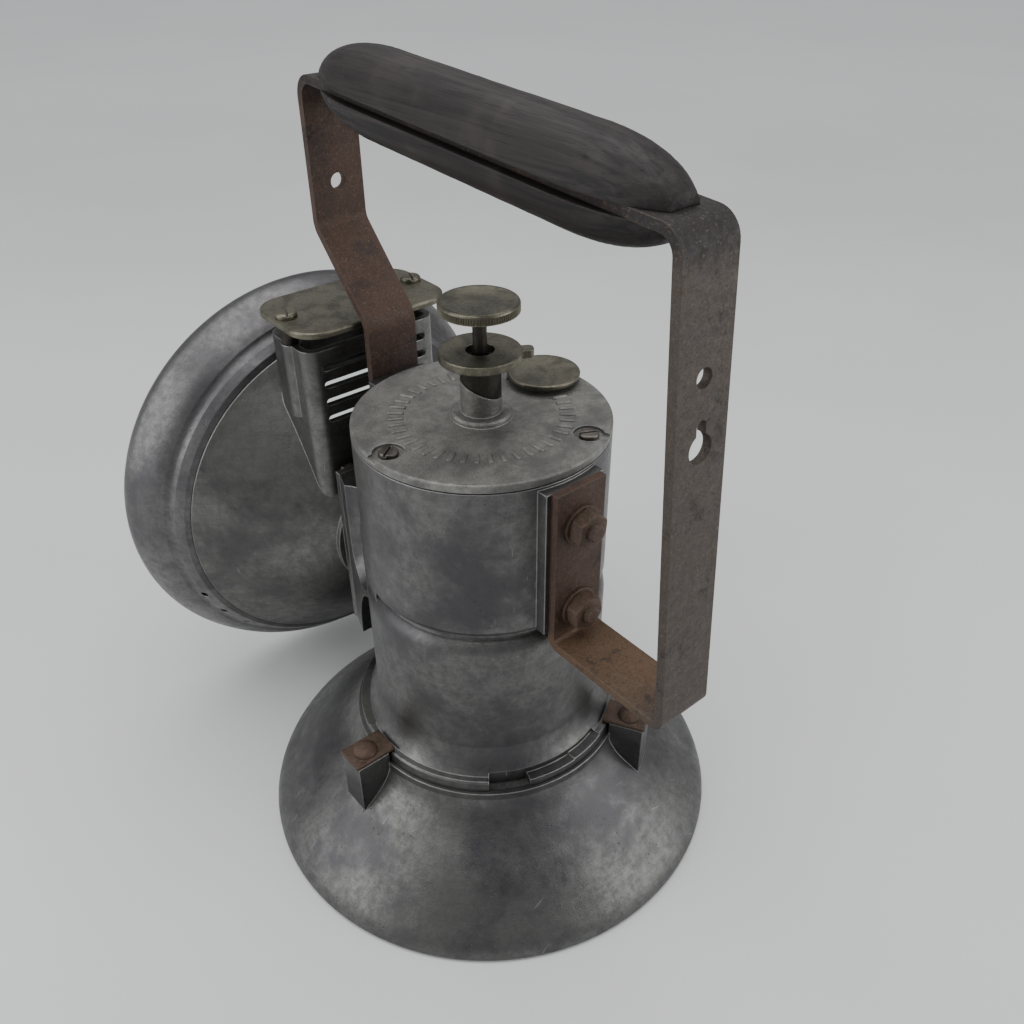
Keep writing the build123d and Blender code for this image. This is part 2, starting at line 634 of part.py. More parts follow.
def regulator_sleeve():
    sleeve = rod(CAM_R - 0.2, CAM_MID_Z - CAM_HALF_RISE - 2, DISC_TOP - DISC_THICK)
    sleeve = sleeve - cam_side(False, -CAM_GAP)
    return sleeve - rod(GUIDE_R + RUNNING_FIT, LID_TOP, DISC_TOP)


def regulator_disc():
    bottom = DISC_TOP - DISC_THICK
    disc = rod(DISC_R, bottom, DISC_TOP)
    disc = fillet(disc.edges().group_by(Axis.Z)[-1], 0.5)
    tab = block(DISC_R - 3, DISC_R + DISC_TAB_REACH, -DISC_TAB_WIDTH / 2, DISC_TAB_WIDTH / 2,
                bottom - 0.6, DISC_TOP - 0.8)
    tab = fillet(tab.edges().filter_by(Axis.Z).group_by(Axis.X)[-1], 1.8)
    return disc + Rot(0, 0, DISC_TAB_ANGLE) * tab - rod(DISC_HOLE_R, bottom - 2, DISC_TOP + 1)


def valve_stem():
    cone_top = SEAT_TOP + PART_GAP + NEEDLE_CONE
    stem = rod(STEM_R, cone_top, KNOB_TOP - KNOB_THICK)
    cone = Pos(0, 0, SEAT_TOP + PART_GAP) * Cone(NEEDLE_TIP_R, STEM_R, NEEDLE_CONE, align=LOW)
    return stem + cone


def valve_knob():
    knob = rod(KNOB_R, KNOB_TOP - KNOB_THICK, KNOB_TOP)
    return fillet(knob.edges(), 0.7)


# ---- head -----------------------------------------------------------------------------
def bowl_outline(inset, back_y):
    """Closed outline of the bowl, drawn in by the wall's thickness for the hollow."""
    front_y = SEAM_Y - inset
    depth = BOWL_BACK_Y - SEAM_Y
    spread = SEAM_R - BOWL_BACK_R
    shares = ((0.1, 0.15), (0.28, 0.335), (0.49, 0.54), (0.74, 0.765))
    side = [(BOWL_BACK_Y - along * depth, BOWL_BACK_R + out * spread - inset) for along, out in shares]
    return [
        Polyline(*yr([(front_y, 0), (back_y, 0), (back_y, BOWL_BACK_R - inset)])),
        Spline(*yr([(back_y, BOWL_BACK_R - inset)] + side + [(front_y, SEAM_R - inset)])),
        Line(*yr([(front_y, SEAM_R - inset), (front_y, 0)])),
    ]


def vent_shape(grow, bottom, top):
    """Upright rounded box of the vent, smaller by its wall for the hollow."""
    return rounded_block(VENT_HALF_WIDTH + grow, VENT_FRONT_Y - grow, VENT_REAR_Y + grow,
                         bottom, top, VENT_CORNER_R + grow)


def head_casting():
    flange_y = NECK_FACE_Y - HEAD_FLANGE_THICK
    bowl = turned_head(bowl_outline(0, BOWL_BACK_Y))
    bowl = bowl + rod_y(HEAD_BOSS_R, flange_y - 7, flange_y, 0, HEAD_Z)
    bowl = bowl + block(-NECK_HALF_WIDTH, NECK_HALF_WIDTH, flange_y, NECK_FACE_Y, NECK_BOTTOM, NECK_TOP)
    bowl = bowl + vent_shape(0, HEAD_Z, VENT_TOP)
    for side in (-1, 1):
        boss = rod(SPACER_R + 1, HEAD_Z + 60, VENT_TOP, side * COVER_SCREW_X * 0.98, COVER_SCREW_Y)
        bowl = bowl + boss
    hollow = turned_head(bowl_outline(BOWL_WALL, BOWL_BACK_Y - BOWL_WALL))
    chimney = vent_shape(-VENT_WALL, HEAD_Z, VENT_TOP + 1)
    for side in (-1, 1):
        chimney = chimney - rod(SPACER_R + 1, HEAD_Z + 60, VENT_TOP + 2, side * COVER_SCREW_X * 0.98,
                                COVER_SCREW_Y)
    bowl = bowl - chimney - hollow
    spigot = turned_head(Polyline(*yr([
        (SEAM_Y + 2, SPIGOT_R), (SPIGOT_END_Y, SPIGOT_R), (SPIGOT_END_Y, SPIGOT_R - SPIGOT_WALL),
        (SEAM_Y + 2, SPIGOT_R - SPIGOT_WALL)]), close=True))
    bowl = bowl + spigot
    for index in range(SLOT_COUNT):
        z = SLOT_TOP_Z - index * SLOT_PITCH
        slot = Pos(0, VENT_REAR_Y, z) * Rot(90, 0, 0) * SlotOverall(2 * SLOT_HALF_LENGTH, SLOT_HEIGHT)
        bowl = bowl - extrude(slot, amount=VENT_WALL + 1, both=True)
    for side in (-1, 1):
        bowl = bowl - rod(COVER_SCREW_R, VENT_TOP - COVER_SCREW_DEPTH, VENT_TOP + 1,
                          side * COVER_SCREW_X, COVER_SCREW_Y)
        for z in HEAD_SCREW_Z:
            bowl = bowl - rod_y(HEAD_SCREW_R, flange_y - 1, NECK_FACE_Y + 1, side * HEAD_SCREW_X, z)
    bowl = bowl - rod_y(GAS_TUBE_R, BOWL_BACK_Y - 20, NECK_FACE_Y + 1, 0, GAS_TUBE_Z)
    return bowl


def head_screws():
    screws = []
    seat = NECK_FACE_Y - HEAD_FLANGE_THICK
    for x in (-HEAD_SCREW_X, HEAD_SCREW_X):
        for z in HEAD_SCREW_Z:
            head = hexagon_y(HEAD_SCREW_FLATS, seat - HEAD_SCREW_HEAD_THICK, seat, x, z)
            screws.append(head + rod_y(HEAD_SCREW_R, seat - 0.1, NECK_FACE_Y + HEAD_SCREW_BITE, x, z))
    return group(screws)


def gas_tube():
    start_y = -SKIRT_R + 12
    bend_y = BURNER_Y
    top = HEAD_Z - 7
    path = FilletPolyline((0, start_y, GAS_TUBE_Z), (0, bend_y, GAS_TUBE_Z), (0, bend_y, top), radius=5)
    start = Plane(origin=path @ 0, z_dir=path % 0)
    tube = sweep(start * Circle(GAS_TUBE_R), path=path)
    bore = sweep(start * Circle(GAS_TUBE_BORE_R), path=path)
    return tube - bore


def tube_nut():
    face = BOWL_BACK_Y - BOWL_WALL
    nut = hexagon_y(TUBE_NUT_FLATS, face - TUBE_NUT_THICK, face, 0, GAS_TUBE_Z)
    return nut - rod_y(GAS_TUBE_R, face - 9, face + 1, 0, GAS_TUBE_Z)


def burner_holder():
    bottom = HEAD_Z - 7
    holder = rod(BURNER_R, bottom, bottom + BURNER_HEIGHT, 0, BURNER_Y)
    holder = chamfer(holder.edges().group_by(Axis.Z)[-1], 1.0)
    return holder - rod(TIP_R - 1, bottom - 1, bottom + BURNER_HEIGHT + 1, 0, BURNER_Y)


def burner_tip():
    bottom = HEAD_Z - 7 + BURNER_HEIGHT
    plug = rod(TIP_R - 1, bottom - 5, bottom + 0.1, 0, BURNER_Y)
    tip = Pos(0, BURNER_Y, bottom) * Cone(TIP_R, TIP_R - 1.2, TIP_HEIGHT, align=LOW)
    return plug + tip - rod(0.5, bottom - 6, bottom + TIP_HEIGHT + 1, 0, BURNER_Y)


def reflector_y(radius):
    """Place along the head's axis of the reflector's parabola, whose rim meets the spigot."""
    return SPIGOT_END_Y + (REFLECTOR_RIM_R ** 2 - radius ** 2) / (4 * REFLECTOR_FOCUS)


def reflector():
    rim_r = REFLECTOR_RIM_R
    stations = [REFLECTOR_HOLE_R + (rim_r - REFLECTOR_HOLE_R) * step / 4 for step in range(5)]
    front = yr([(reflector_y(radius) - REFLECTOR_WALL, radius) for radius in stations])
    back = yr([(reflector_y(radius), radius) for radius in reversed(stations)])
    dish = turned_head([Spline(*front), Line(front[-1], back[0]), Spline(*back), Line(back[-1], front[0])])
    lip_y = SPIGOT_END_Y
    lip = turned_head(Polyline(*yr([
        (lip_y, SPIGOT_R - 0.4), (lip_y - REFLECTOR_WALL, SPIGOT_R - 0.4),
        (lip_y - REFLECTOR_WALL, rim_r - 0.5), (lip_y, rim_r - 0.1)]), close=True))
    dish = dish + lip
    return dish - block(-CHIMNEY_HALF_WIDTH, CHIMNEY_HALF_WIDTH, SPIGOT_END_Y + 5, VENT_REAR_Y,
                        HEAD_Z + 26, HEAD_Z + 90)


def ring_curve(inset):
    """The ring's side: a band beside the seam, a shallow cove, then a full round to the front lip."""
    start = yr([(SEAM_Y - PART_GAP, SEAM_R + 0.2 - inset), (SEAM_Y - 1.2, SEAM_R + 2.6 - inset),
                (SEAM_Y - 4.6, SEAM_R + 5.4 - inset)])
    cove = yr([(SEAM_Y - 4.6, SEAM_R + 5.4 - inset), (SEAM_Y - 6.9, SEAM_R + 6.6 - inset),
               (SEAM_Y - 8.4, SEAM_R + 8.6 - inset)])
    round_side = yr([(SEAM_Y - 8.4, SEAM_R + 8.6 - inset), (SEAM_Y - 13.0, SEAM_R + 12.8 - inset),
                     (SEAM_Y - 19.5, SEAM_R + 16.3 - inset), (RING_WIDEST_Y, RING_R - inset),
                     (RING_WIDEST_Y - 4.2, RING_R - 1.8 - inset), (LIP_Y, RING_LIP_R - inset)])
    return [Polyline(*start), ThreePointArc(*cove), Spline(*round_side)]


def lens_ring():
    outer = ring_curve(0)
    inner = ring_curve(RING_WALL)
    inner_r = SPIGOT_R + PART_GAP
    shell = turned_head(outer + [
        Polyline(*yr([(LIP_Y, RING_LIP_R), (RING_FRONT_Y, RING_LIP_R - 3.0), (RING_FRONT_Y, LENS_OPENING_R),
                      (LIP_Y, LENS_OPENING_R), (LIP_Y, RING_LIP_R - RING_WALL)])),
        *inner,
        Line(inner[0] @ 0, outer[0] @ 0),
    ])
    collar = turned_head(Polyline(*yr([
        (SEAM_Y - PART_GAP, SEAM_R + 0.2), (SEAM_Y - PART_GAP, inner_r),
        (SEAM_Y - SPIGOT_LENGTH + 3.0, inner_r), (SEAM_Y - SPIGOT_LENGTH + 3.0, inner_r + 1.8),
        (SEAM_Y - 3.0, inner_r + 1.8), (SEAM_Y - 2.4, SEAM_R + 1.6)]), close=True))
    seat = turned_head(Polyline(*yr([
        (LIP_Y - 0.4, LENS_R + 0.4), (LIP_Y - 0.4, LENS_R + 2.0),
        (LENS_BACK_Y + 3.4, LENS_R + 2.0), (LENS_BACK_Y + 3.4, LENS_R + 0.4)]), close=True))
    web = turned_head(Polyline(*yr([
        (LENS_BACK_Y + 2.0, LENS_R + 1.4), (LENS_BACK_Y + 2.0, RING_LIP_R + 0.6),
        (LENS_BACK_Y + 3.4, RING_LIP_R + 0.6), (LENS_BACK_Y + 3.4, LENS_R + 1.4)]), close=True))
    ring = shell + collar + seat + web
    for side in (-1, 1):
        for index in range(AIR_HOLE_COUNT):
            angle = side * (AIR_HOLE_FIRST_ANGLE + index * AIR_HOLE_PITCH)
            turn = Pos(0, 0, HEAD_Z) * Rot(0, angle, 0) * Pos(0, 0, -AIR_HOLE_CIRCLE_R)
            drill = Rot(AIR_HOLE_TILT, 0, 0) * Cylinder(AIR_HOLE_R, AIR_HOLE_DEPTH)
            ring = ring - turn * Pos(0, SEAM_Y - 4.8, 0) * drill
    return ring


def lens_gasket():
    outline = yr([(LIP_Y, LENS_OPENING_R + 0.6), (LIP_Y, LENS_R), (LENS_FRONT_Y, LENS_R),
                  (LENS_FRONT_Y, LENS_OPENING_R + 0.6)])
    return turned_head(Polyline(*outline, close=True))


def lens_glass():
    return rod_y(LENS_R, LENS_FRONT_Y, LENS_BACK_Y, 0, HEAD_Z)


def lens_retainer():
    back_y = LENS_BACK_Y + RETAINER_THICK
    outline = yr([(LENS_BACK_Y, LENS_R - 2.4), (LENS_BACK_Y, LENS_R + 0.4), (back_y, LENS_R + 0.4),
                  (back_y, LENS_R - 2.4)])
    wire = turned_head(Polyline(*outline, close=True))
    return wire - block(-3, 3, LENS_BACK_Y - 1, back_y + 1, HEAD_Z - LENS_R - 4, HEAD_Z)


# ---- vent cover -----------------------------------------------------------------------
def vent_cover():
    plate = rounded_block(COVER_HALF_WIDTH, COVER_FRONT_Y, COVER_REAR_Y, COVER_BOTTOM, COVER_TOP,
                          COVER_CORNER_R)
    plate = fillet(plate.edges().group_by(Axis.Z)[-1], 0.9)
    for side in (-1, 1):
        plate = plate - rod(COVER_SCREW_R + HOLE_EASE, COVER_BOTTOM - 1, COVER_TOP + 1,
                            side * COVER_SCREW_X, COVER_SCREW_Y)
    return plate


def vent_spacers():
    return group([washer(SPACER_R, COVER_SCREW_R + HOLE_EASE, VENT_TOP, COVER_BOTTOM,
                         side * COVER_SCREW_X, COVER_SCREW_Y) for side in (-1, 1)])


def vent_screws():
    screws = []
    for side in (-1, 1):
        x = side * COVER_SCREW_X
        top = COVER_TOP + COVER_SCREW_HEAD_HEIGHT
        head = rod(COVER_SCREW_HEAD_R, COVER_TOP, top, x, COVER_SCREW_Y)
        head = fillet(head.edges().group_by(Axis.Z)[-1], 1.2)
        head = slotted(head, x, COVER_SCREW_Y, top, 1.0, 1.0, 10.0, 70.0)
        shank = rod(COVER_SCREW_R, VENT_TOP - COVER_SCREW_DEPTH, COVER_TOP + 0.1, x, COVER_SCREW_Y)
        screws.append(head + shank)
    return group(screws)


# ---- handle ---------------------------------------------------------------------------
def strap_corners():
    """Corners of the strap's middle line, from the rear foot round to the front foot."""
    half = STRAP_THICK / 2
    foot_y = REAR_PAD_Y + half
    front_y = FRONT_PAD_Y - half
    return [
        (0, foot_y, STRAP_FOOT_TOP),
        (0, foot_y, STRAP_FLOOR_Z - half),
        (0, STRAP_REAR_LOW_Y - half, STRAP_FLOOR_Z - half),
        (0, STRAP_REAR_HIGH_Y - half, STRAP_REAR_TOP - half),
        (0, STRAP_FRONT_Y + half, STRAP_FRONT_TOP - half),
        (0, STRAP_FRONT_Y + half, STRAP_KNEE_HIGH_Z),
        (0, front_y, STRAP_KNEE_LOW_Z),
        (0, front_y, STRAP_FRONT_END),
    ]


def rear_leg_frame(z):
    """Place and tilt of the rear leg's middle at a height."""
    low = Vector(*strap_corners()[2])
    high = Vector(*strap_corners()[3])
    along = (high - low).normalized()
    spot = low + along * ((z - low.Z) / along.Z)
    return Plane(origin=spot, x_dir=(1, 0, 0), z_dir=along.cross(Vector(1, 0, 0)))


def handle_strap():
    path = FilletPolyline(*strap_corners(), radius=STRAP_BEND_R)
    start = Plane(origin=path @ 0, x_dir=(1, 0, 0), z_dir=path % 0)
    strap = sweep(start * Rectangle(STRAP_WIDTH, STRAP_THICK), path=path)
    for z in REAR_STUD_Z:
        strap = strap - rod_y(STUD_R + HOLE_EASE, REAR_PAD_Y - 2, REAR_PAD_Y + 8, 0, z)
    for z in FRONT_STUD_Z:
        strap = strap - rod_y(STUD_R + HOLE_EASE, FRONT_PAD_Y - 8, FRONT_PAD_Y + 2, 0, z)
    strap = strap - rear_leg_frame(SMALL_HOLE_Z) * Cylinder(SMALL_HOLE_R, 12)
    key = rear_leg_frame(KEYHOLE_Z)
    strap = strap - key * Cylinder(KEYHOLE_R, 12)
    up = 1 if key.y_dir.Z > 0 else -1
    slot = Pos(0, up * KEYHOLE_SLOT_LENGTH / 2, 0) * Box(2 * KEYHOLE_SLOT_R, KEYHOLE_SLOT_LENGTH, 12)
    strap = strap - key * slot - key * Pos(0, up * KEYHOLE_SLOT_LENGTH, 0) * Cylinder(KEYHOLE_SLOT_R, 12)
    strap = strap - rod_y(SMALL_HOLE_R, STRAP_FRONT_Y - 5, STRAP_FRONT_Y + 9, 0, FRONT_HOLE_Z)
    for y in GRIP_SCREW_Y:
        strap = strap - grip_frame(y) * Cylinder(GRIP_SCREW_R + HOLE_EASE, 12)
    return strap


def stud_places():
    """Stud heights with the pad's face and the side that the nut is on."""
    rear = [(REAR_PAD_Y, 1, z) for z in REAR_STUD_Z]
    front = [(FRONT_PAD_Y, -1, z) for z in FRONT_STUD_Z]
    return rear + front


def strap_studs():
    length = STRAP_THICK + WASHER_THICK + NUT_THICK + STUD_PROUD
    return group([rod_y(STUD_R, face - side * STUD_DEPTH, face + side * length, 0, z)
                  for face, side, z in stud_places()])


def strap_washers():
    pieces = []
    for face, side, z in stud_places():
        foot = face + side * STRAP_THICK
        disc = rod_y(WASHER_R, foot, foot + side * WASHER_THICK, 0, z)
        pieces.append(disc - rod_y(STUD_R, foot - 9, foot + 9, 0, z))
    return group(pieces)


def strap_nuts():
    pieces = []
    for face, side, z in stud_places():
        seat = face + side * (STRAP_THICK + WASHER_THICK)
        nut = hexagon_y(NUT_FLATS, seat, seat + side * NUT_THICK, 0, z)
        corner_r = NUT_FLATS / math.sqrt(3)
        nut = nut & rod_y(corner_r - 0.2, seat, seat + side * NUT_THICK, 0, z)
        pieces.append(nut - rod_y(STUD_R, seat - 9, seat + 9, 0, z))
    return group(pieces)


def grip_frame(y):
    """Place and tilt of the grip's axis at a place along it: z_dir is square to the strap."""
    rear = Vector(*strap_corners()[3])
    front = Vector(*strap_corners()[4])
    along = (rear - front).normalized()
    spot = front + along * ((y - front.Y) / along.Y)
    return Plane(origin=spot, x_dir=(1, 0, 0), z_dir=Vector(1, 0, 0).cross(along))


def grip_barrel():
    """Whole turned grip before it is sawn into two scales."""
    middle = (GRIP_REAR_Y + GRIP_FRONT_Y) / 2
    half = (GRIP_REAR_Y - GRIP_FRONT_Y) / 2
    shoulder = half - GRIP_TAPER
    outline = [
        Polyline((GRIP_END_R, half, 0), (0, half, 0), (0, -half, 0), (GRIP_END_R, -half, 0)),
        Spline((GRIP_END_R, -half, 0), (GRIP_R, -shoulder, 0), tangents=((1, 1.2, 0), (0, 1, 0))),
        Line((GRIP_R, -shoulder, 0), (GRIP_R, shoulder, 0)),
        Spline((GRIP_R, shoulder, 0), (GRIP_END_R, half, 0), tangents=((0, 1, 0), (-1, 1.2, 0))),
    ]
    return grip_frame(middle) * revolve(make_face(outline), Axis.Y, 360)


def grip_half(side):
    """One scale of the grip: side is +1 above the strap and -1 below it."""
    middle = (GRIP_REAR_Y + GRIP_FRONT_Y) / 2
    reach = 80.0
    keep = grip_frame(middle) * Pos(0, 0, side * (reach / 2 + STRAP_THICK / 2)) * Box(80, 240, reach)
    scale = grip_barrel() & keep
    for y in GRIP_SCREW_Y:
        bite = GRIP_SCREW_BITE if side > 0 else 40.0
        hole = Pos(0, 0, side * bite / 2) * Cylinder(GRIP_SCREW_R, bite)
        scale = scale - grip_frame(y) * hole
        if side < 0:
            sink = Pos(0, 0, -(STRAP_THICK / 2 + 8.0 + 20.0)) * Cylinder(GRIP_SCREW_HEAD_R + 0.3, 40)
            scale = scale - grip_frame(y) * sink
    return scale


def grip_screws():
    pieces = []
    head_top = -(STRAP_THICK / 2 + 8.0)
    for y in GRIP_SCREW_Y:
        length = GRIP_SCREW_BITE - head_top
        shank = Pos(0, 0, head_top + length / 2) * Cylinder(GRIP_SCREW_R, length)
        head = Pos(0, 0, head_top - 1.2) * Cylinder(GRIP_SCREW_HEAD_R, 2.4)
        head = head - Pos(0, 0, head_top - 2.4) * Box(9, 1.1, 1.8)
        pieces.append(grip_frame(y) * (shank + head))
    return group(pieces)


# ---- all nodes ------------------------------------------------------------------------
NODES = {
    "base_bell": base_bell,
    "base_floor": base_floor,
    "base_gasket": base_gasket,
    "carbide_basket": carbide_basket,
    "hook_plates": hook_plates,
    "hook_rivets": hook_rivets,
    "body_casting": body_casting,
    "valve_seat": valve_seat,
    "drip_tube": drip_tube,
    "filter_plate": filter_plate,
    "felt_filter": felt_filter,
    "lid": lid,
    "lid_gasket": lid_gasket,
    "lid_screws": lid_screws,
    "filler_cap": filler_cap,
    "filler_pin": filler_pin,
    "valve_guide": valve_guide,
    "regulator_sleeve": regulator_sleeve,
    "regulator_disc": regulator_disc,
    "valve_stem": valve_stem,
    "valve_knob": valve_knob,
    "head_casting": head_casting,
    "head_screws": head_screws,
    "gas_tube": gas_tube,
    "tube_nut": tube_nut,
    "burner_holder": burner_holder,
    "burner_tip": burner_tip,
    "reflector": reflector,
    "lens_ring": lens_ring,
    "lens_gasket": lens_gasket,
    "lens_glass": lens_glass,
    "lens_retainer": lens_retainer,
    "vent_cover": vent_cover,
    "vent_spacers": vent_spacers,
    "vent_screws": vent_screws,
    "handle_strap": handle_strap,
    "strap_studs": strap_studs,
    "strap_washers": strap_washers,
    "strap_nuts": strap_nuts,
    "grip_upper": lambda: grip_half(1),
    "grip_lower": lambda: grip_half(-1),
    "grip_screws": grip_screws,
}

os.makedirs("parts", exist_ok=True)
for name, make in NODES.items():
    piece = make()
    export_step(piece, "parts/" + name + ".step")
    print(name, round(piece.volume / 1000, 2), "cm3")
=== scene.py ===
# %% [markdown]
# # A carbide hand lamp
# The lamp makes its own gas. Water drips from the tank on to carbide in the flared base,
# the gas rises through the body to a burner in the round head, and a flat steel strap with a
# wooden grip carries it all. The measured parts come from the engineering model, which is
# loaded first and never moved. This lesson adds finishes, and remodels by hand the small
# parts whose charm is in detail: knurling, threads, hammered rivets, hand-shaved wood.

# %% Load the fixed frame
import bpy
import bmesh
from math import cos, pi, radians
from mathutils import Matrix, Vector
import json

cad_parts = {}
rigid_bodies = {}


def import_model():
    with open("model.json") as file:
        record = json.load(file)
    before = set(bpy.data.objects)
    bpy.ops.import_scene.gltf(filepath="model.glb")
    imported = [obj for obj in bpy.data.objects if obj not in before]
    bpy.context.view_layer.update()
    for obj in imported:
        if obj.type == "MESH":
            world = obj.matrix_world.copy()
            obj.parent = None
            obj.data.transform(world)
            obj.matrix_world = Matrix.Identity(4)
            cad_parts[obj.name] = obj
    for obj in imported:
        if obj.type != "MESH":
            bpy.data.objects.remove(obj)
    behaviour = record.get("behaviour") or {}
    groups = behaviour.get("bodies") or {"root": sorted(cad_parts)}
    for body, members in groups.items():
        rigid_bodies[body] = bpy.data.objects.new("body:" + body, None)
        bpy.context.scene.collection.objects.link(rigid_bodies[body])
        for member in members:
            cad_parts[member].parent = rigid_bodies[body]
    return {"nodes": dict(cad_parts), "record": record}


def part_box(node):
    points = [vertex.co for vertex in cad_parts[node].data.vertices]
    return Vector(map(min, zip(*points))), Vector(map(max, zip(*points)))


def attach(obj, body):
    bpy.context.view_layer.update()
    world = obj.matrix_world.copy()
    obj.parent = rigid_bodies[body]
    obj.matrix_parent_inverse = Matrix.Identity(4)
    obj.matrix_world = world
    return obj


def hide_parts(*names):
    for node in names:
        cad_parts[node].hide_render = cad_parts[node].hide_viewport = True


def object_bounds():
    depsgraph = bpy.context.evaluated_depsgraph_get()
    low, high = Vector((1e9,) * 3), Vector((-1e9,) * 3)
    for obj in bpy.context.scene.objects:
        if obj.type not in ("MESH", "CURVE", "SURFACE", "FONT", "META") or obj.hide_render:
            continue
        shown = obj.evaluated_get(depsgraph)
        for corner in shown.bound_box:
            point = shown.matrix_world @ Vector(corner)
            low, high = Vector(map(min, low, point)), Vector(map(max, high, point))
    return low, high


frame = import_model()
cad_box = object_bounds()
nodes = frame["nodes"]
MM = 0.001
print("loaded", len(nodes), "parts, box", [round(v / MM) for corner in cad_box for v in corner], "mm")

# %% [markdown]
# ## Camera
# The lamp is seen from behind its left shoulder and from above, close enough for the
# perspective to spread its top and narrow its base. A short lens near the object gives that
# look, where a long lens further off would flatten it.

# %% Camera
camera_data = bpy.data.cameras.new("camera")
camera_data.lens = 33.04
camera = bpy.data.objects.new("camera", camera_data)
camera.location = (0.1844, 0.2405, 0.3605)
camera.rotation_euler = (radians(54.91), radians(0.25), radians(140.28))
bpy.context.scene.collection.objects.link(camera)
bpy.context.scene.camera = camera
print("camera", round(camera.location.length, 3), "m from the origin")


# %% [markdown]
# Every finish below is a node tree. Typing each node out in full hides the idea, so a short
# helper adds a node, sets its options and fills or links its inputs in one call.

# %% Node helpers
def add(tree, kind, inputs=None, **options):
    """One shader node: options are its settings, and an input is a value or another socket."""
    made = tree.nodes.new("ShaderNode" + kind)
    for name, value in options.items():
        setattr(made, name, value)
    for name, value in (inputs or {}).items():
        if isinstance(value, bpy.types.NodeSocket):
            tree.links.new(value, made.inputs[name])
        else:
            made.inputs[name].default_value = value
    return made


def placed(tree, stretch=(1, 1, 1), turn=(0, 0, 0), shift=(0, 0, 0)):
    """Coordinates fixed to the object, in metres, stretched or turned for a pattern."""
    spot = add(tree, "TexCoord").outputs["Object"]
    turned = tuple(radians(angle) for angle in turn)
    mapping = add(tree, "Mapping", {"Vector": spot, "Scale": stretch, "Rotation": turned, "Location": shift})
    return mapping.outputs["Vector"]


def noise(tree, place, scale, detail=4.0, roughness=0.55, warp=0.0):
    """A grey noise pattern, with scale in lumps per metre."""
    made = add(tree, "TexNoise", {"Vector": place, "Scale": scale, "Detail": detail,
                                  "Roughness": roughness, "Distortion": warp})
    return made.outputs["Fac"]


def window(tree, value, low, high, to_low=0.0, to_high=1.0):
    """Stretches the part of a value between low and high to a new range, softly clamped."""
    made = add(tree, "MapRange", {"Value": value, "From Min": low, "From Max": high,
                                  "To Min": to_low, "To Max": to_high}, interpolation_type="SMOOTHSTEP")
    return made.outputs["Result"]


def sums(tree, operation, first, second):
    """One sum on two numbers or sockets, such as ADD or MULTIPLY."""
    made = add(tree, "Math", {0: first, 1: second}, operation=operation)
    return made.outputs[0]


def mixed(tree, amount, first, second, blend="MIX"):
    """Mixes two colours by an amount from 0 to 1."""
    made = add(tree, "Mix", data_type="RGBA", blend_type=blend)
    for index, value in ((0, amount), (6, first), (7, second)):
        if isinstance(value, bpy.types.NodeSocket):
            tree.links.new(value, made.inputs[index])
        else:
            made.inputs[index].default_value = value if index == 0 else (*value, 1)
    return made.outputs[2]


def bumped(tree, height, distance, strength=1.0, normal=None):
    """A normal roughened by a height pattern, on top of another normal if one is given."""
    made = add(tree, "Bump", {"Height": height, "Distance": distance, "Strength": strength})
    if normal:
        tree.links.new(normal, made.inputs["Normal"])
    return made.outputs["Normal"]


def new_finish(name):
    """An empty material with its Principled shader."""
    material = bpy.data.materials.new(name)
    material.use_nodes = True
    tree = material.node_tree
    return material, tree, tree.nodes["Principled BSDF"]


def feed(tree, shader, **sockets):
    """Connects colours, roughness and normals to a shader, and sets its constants."""
    for name, value in sockets.items():
        socket = shader.inputs[name.replace("_", " ")]
        if isinstance(value, bpy.types.NodeSocket):
            tree.links.new(value, socket)
        else:
            socket.default_value = value


def worn_edges(tree, radius):
    """A normal that rounds sharp edges, and a mask that is 1 along them."""
    soft = add(tree, "Bevel", {"Radius": radius}, samples=6).outputs["Normal"]
    flat = add(tree, "NewGeometry").outputs["Normal"]
    same = add(tree, "VectorMath", {0: soft, 1: flat}, operation="DOT_PRODUCT").outputs["Value"]
    return soft, window(tree, same, 0.995, 0.86)


print("helpers ready")


# %% [markdown]
# ### Cast aluminium
# The body, base and head are sand-cast aluminium, a century old. The skin is dull grey with
# darker violet stains, rubbed paler in patches, and full of fine pits. Noise of several sizes
# makes it: wide stains, a mottle of a few millimetres, specks and pits, and a grain under one
# millimetre. Faint brush marks and a few bright scratches go over all of it, and the edges
# are paler, where the skin has worn through.

# %% Cast aluminium in four tones
SCRATCH_TURN = (20, 35, 10)


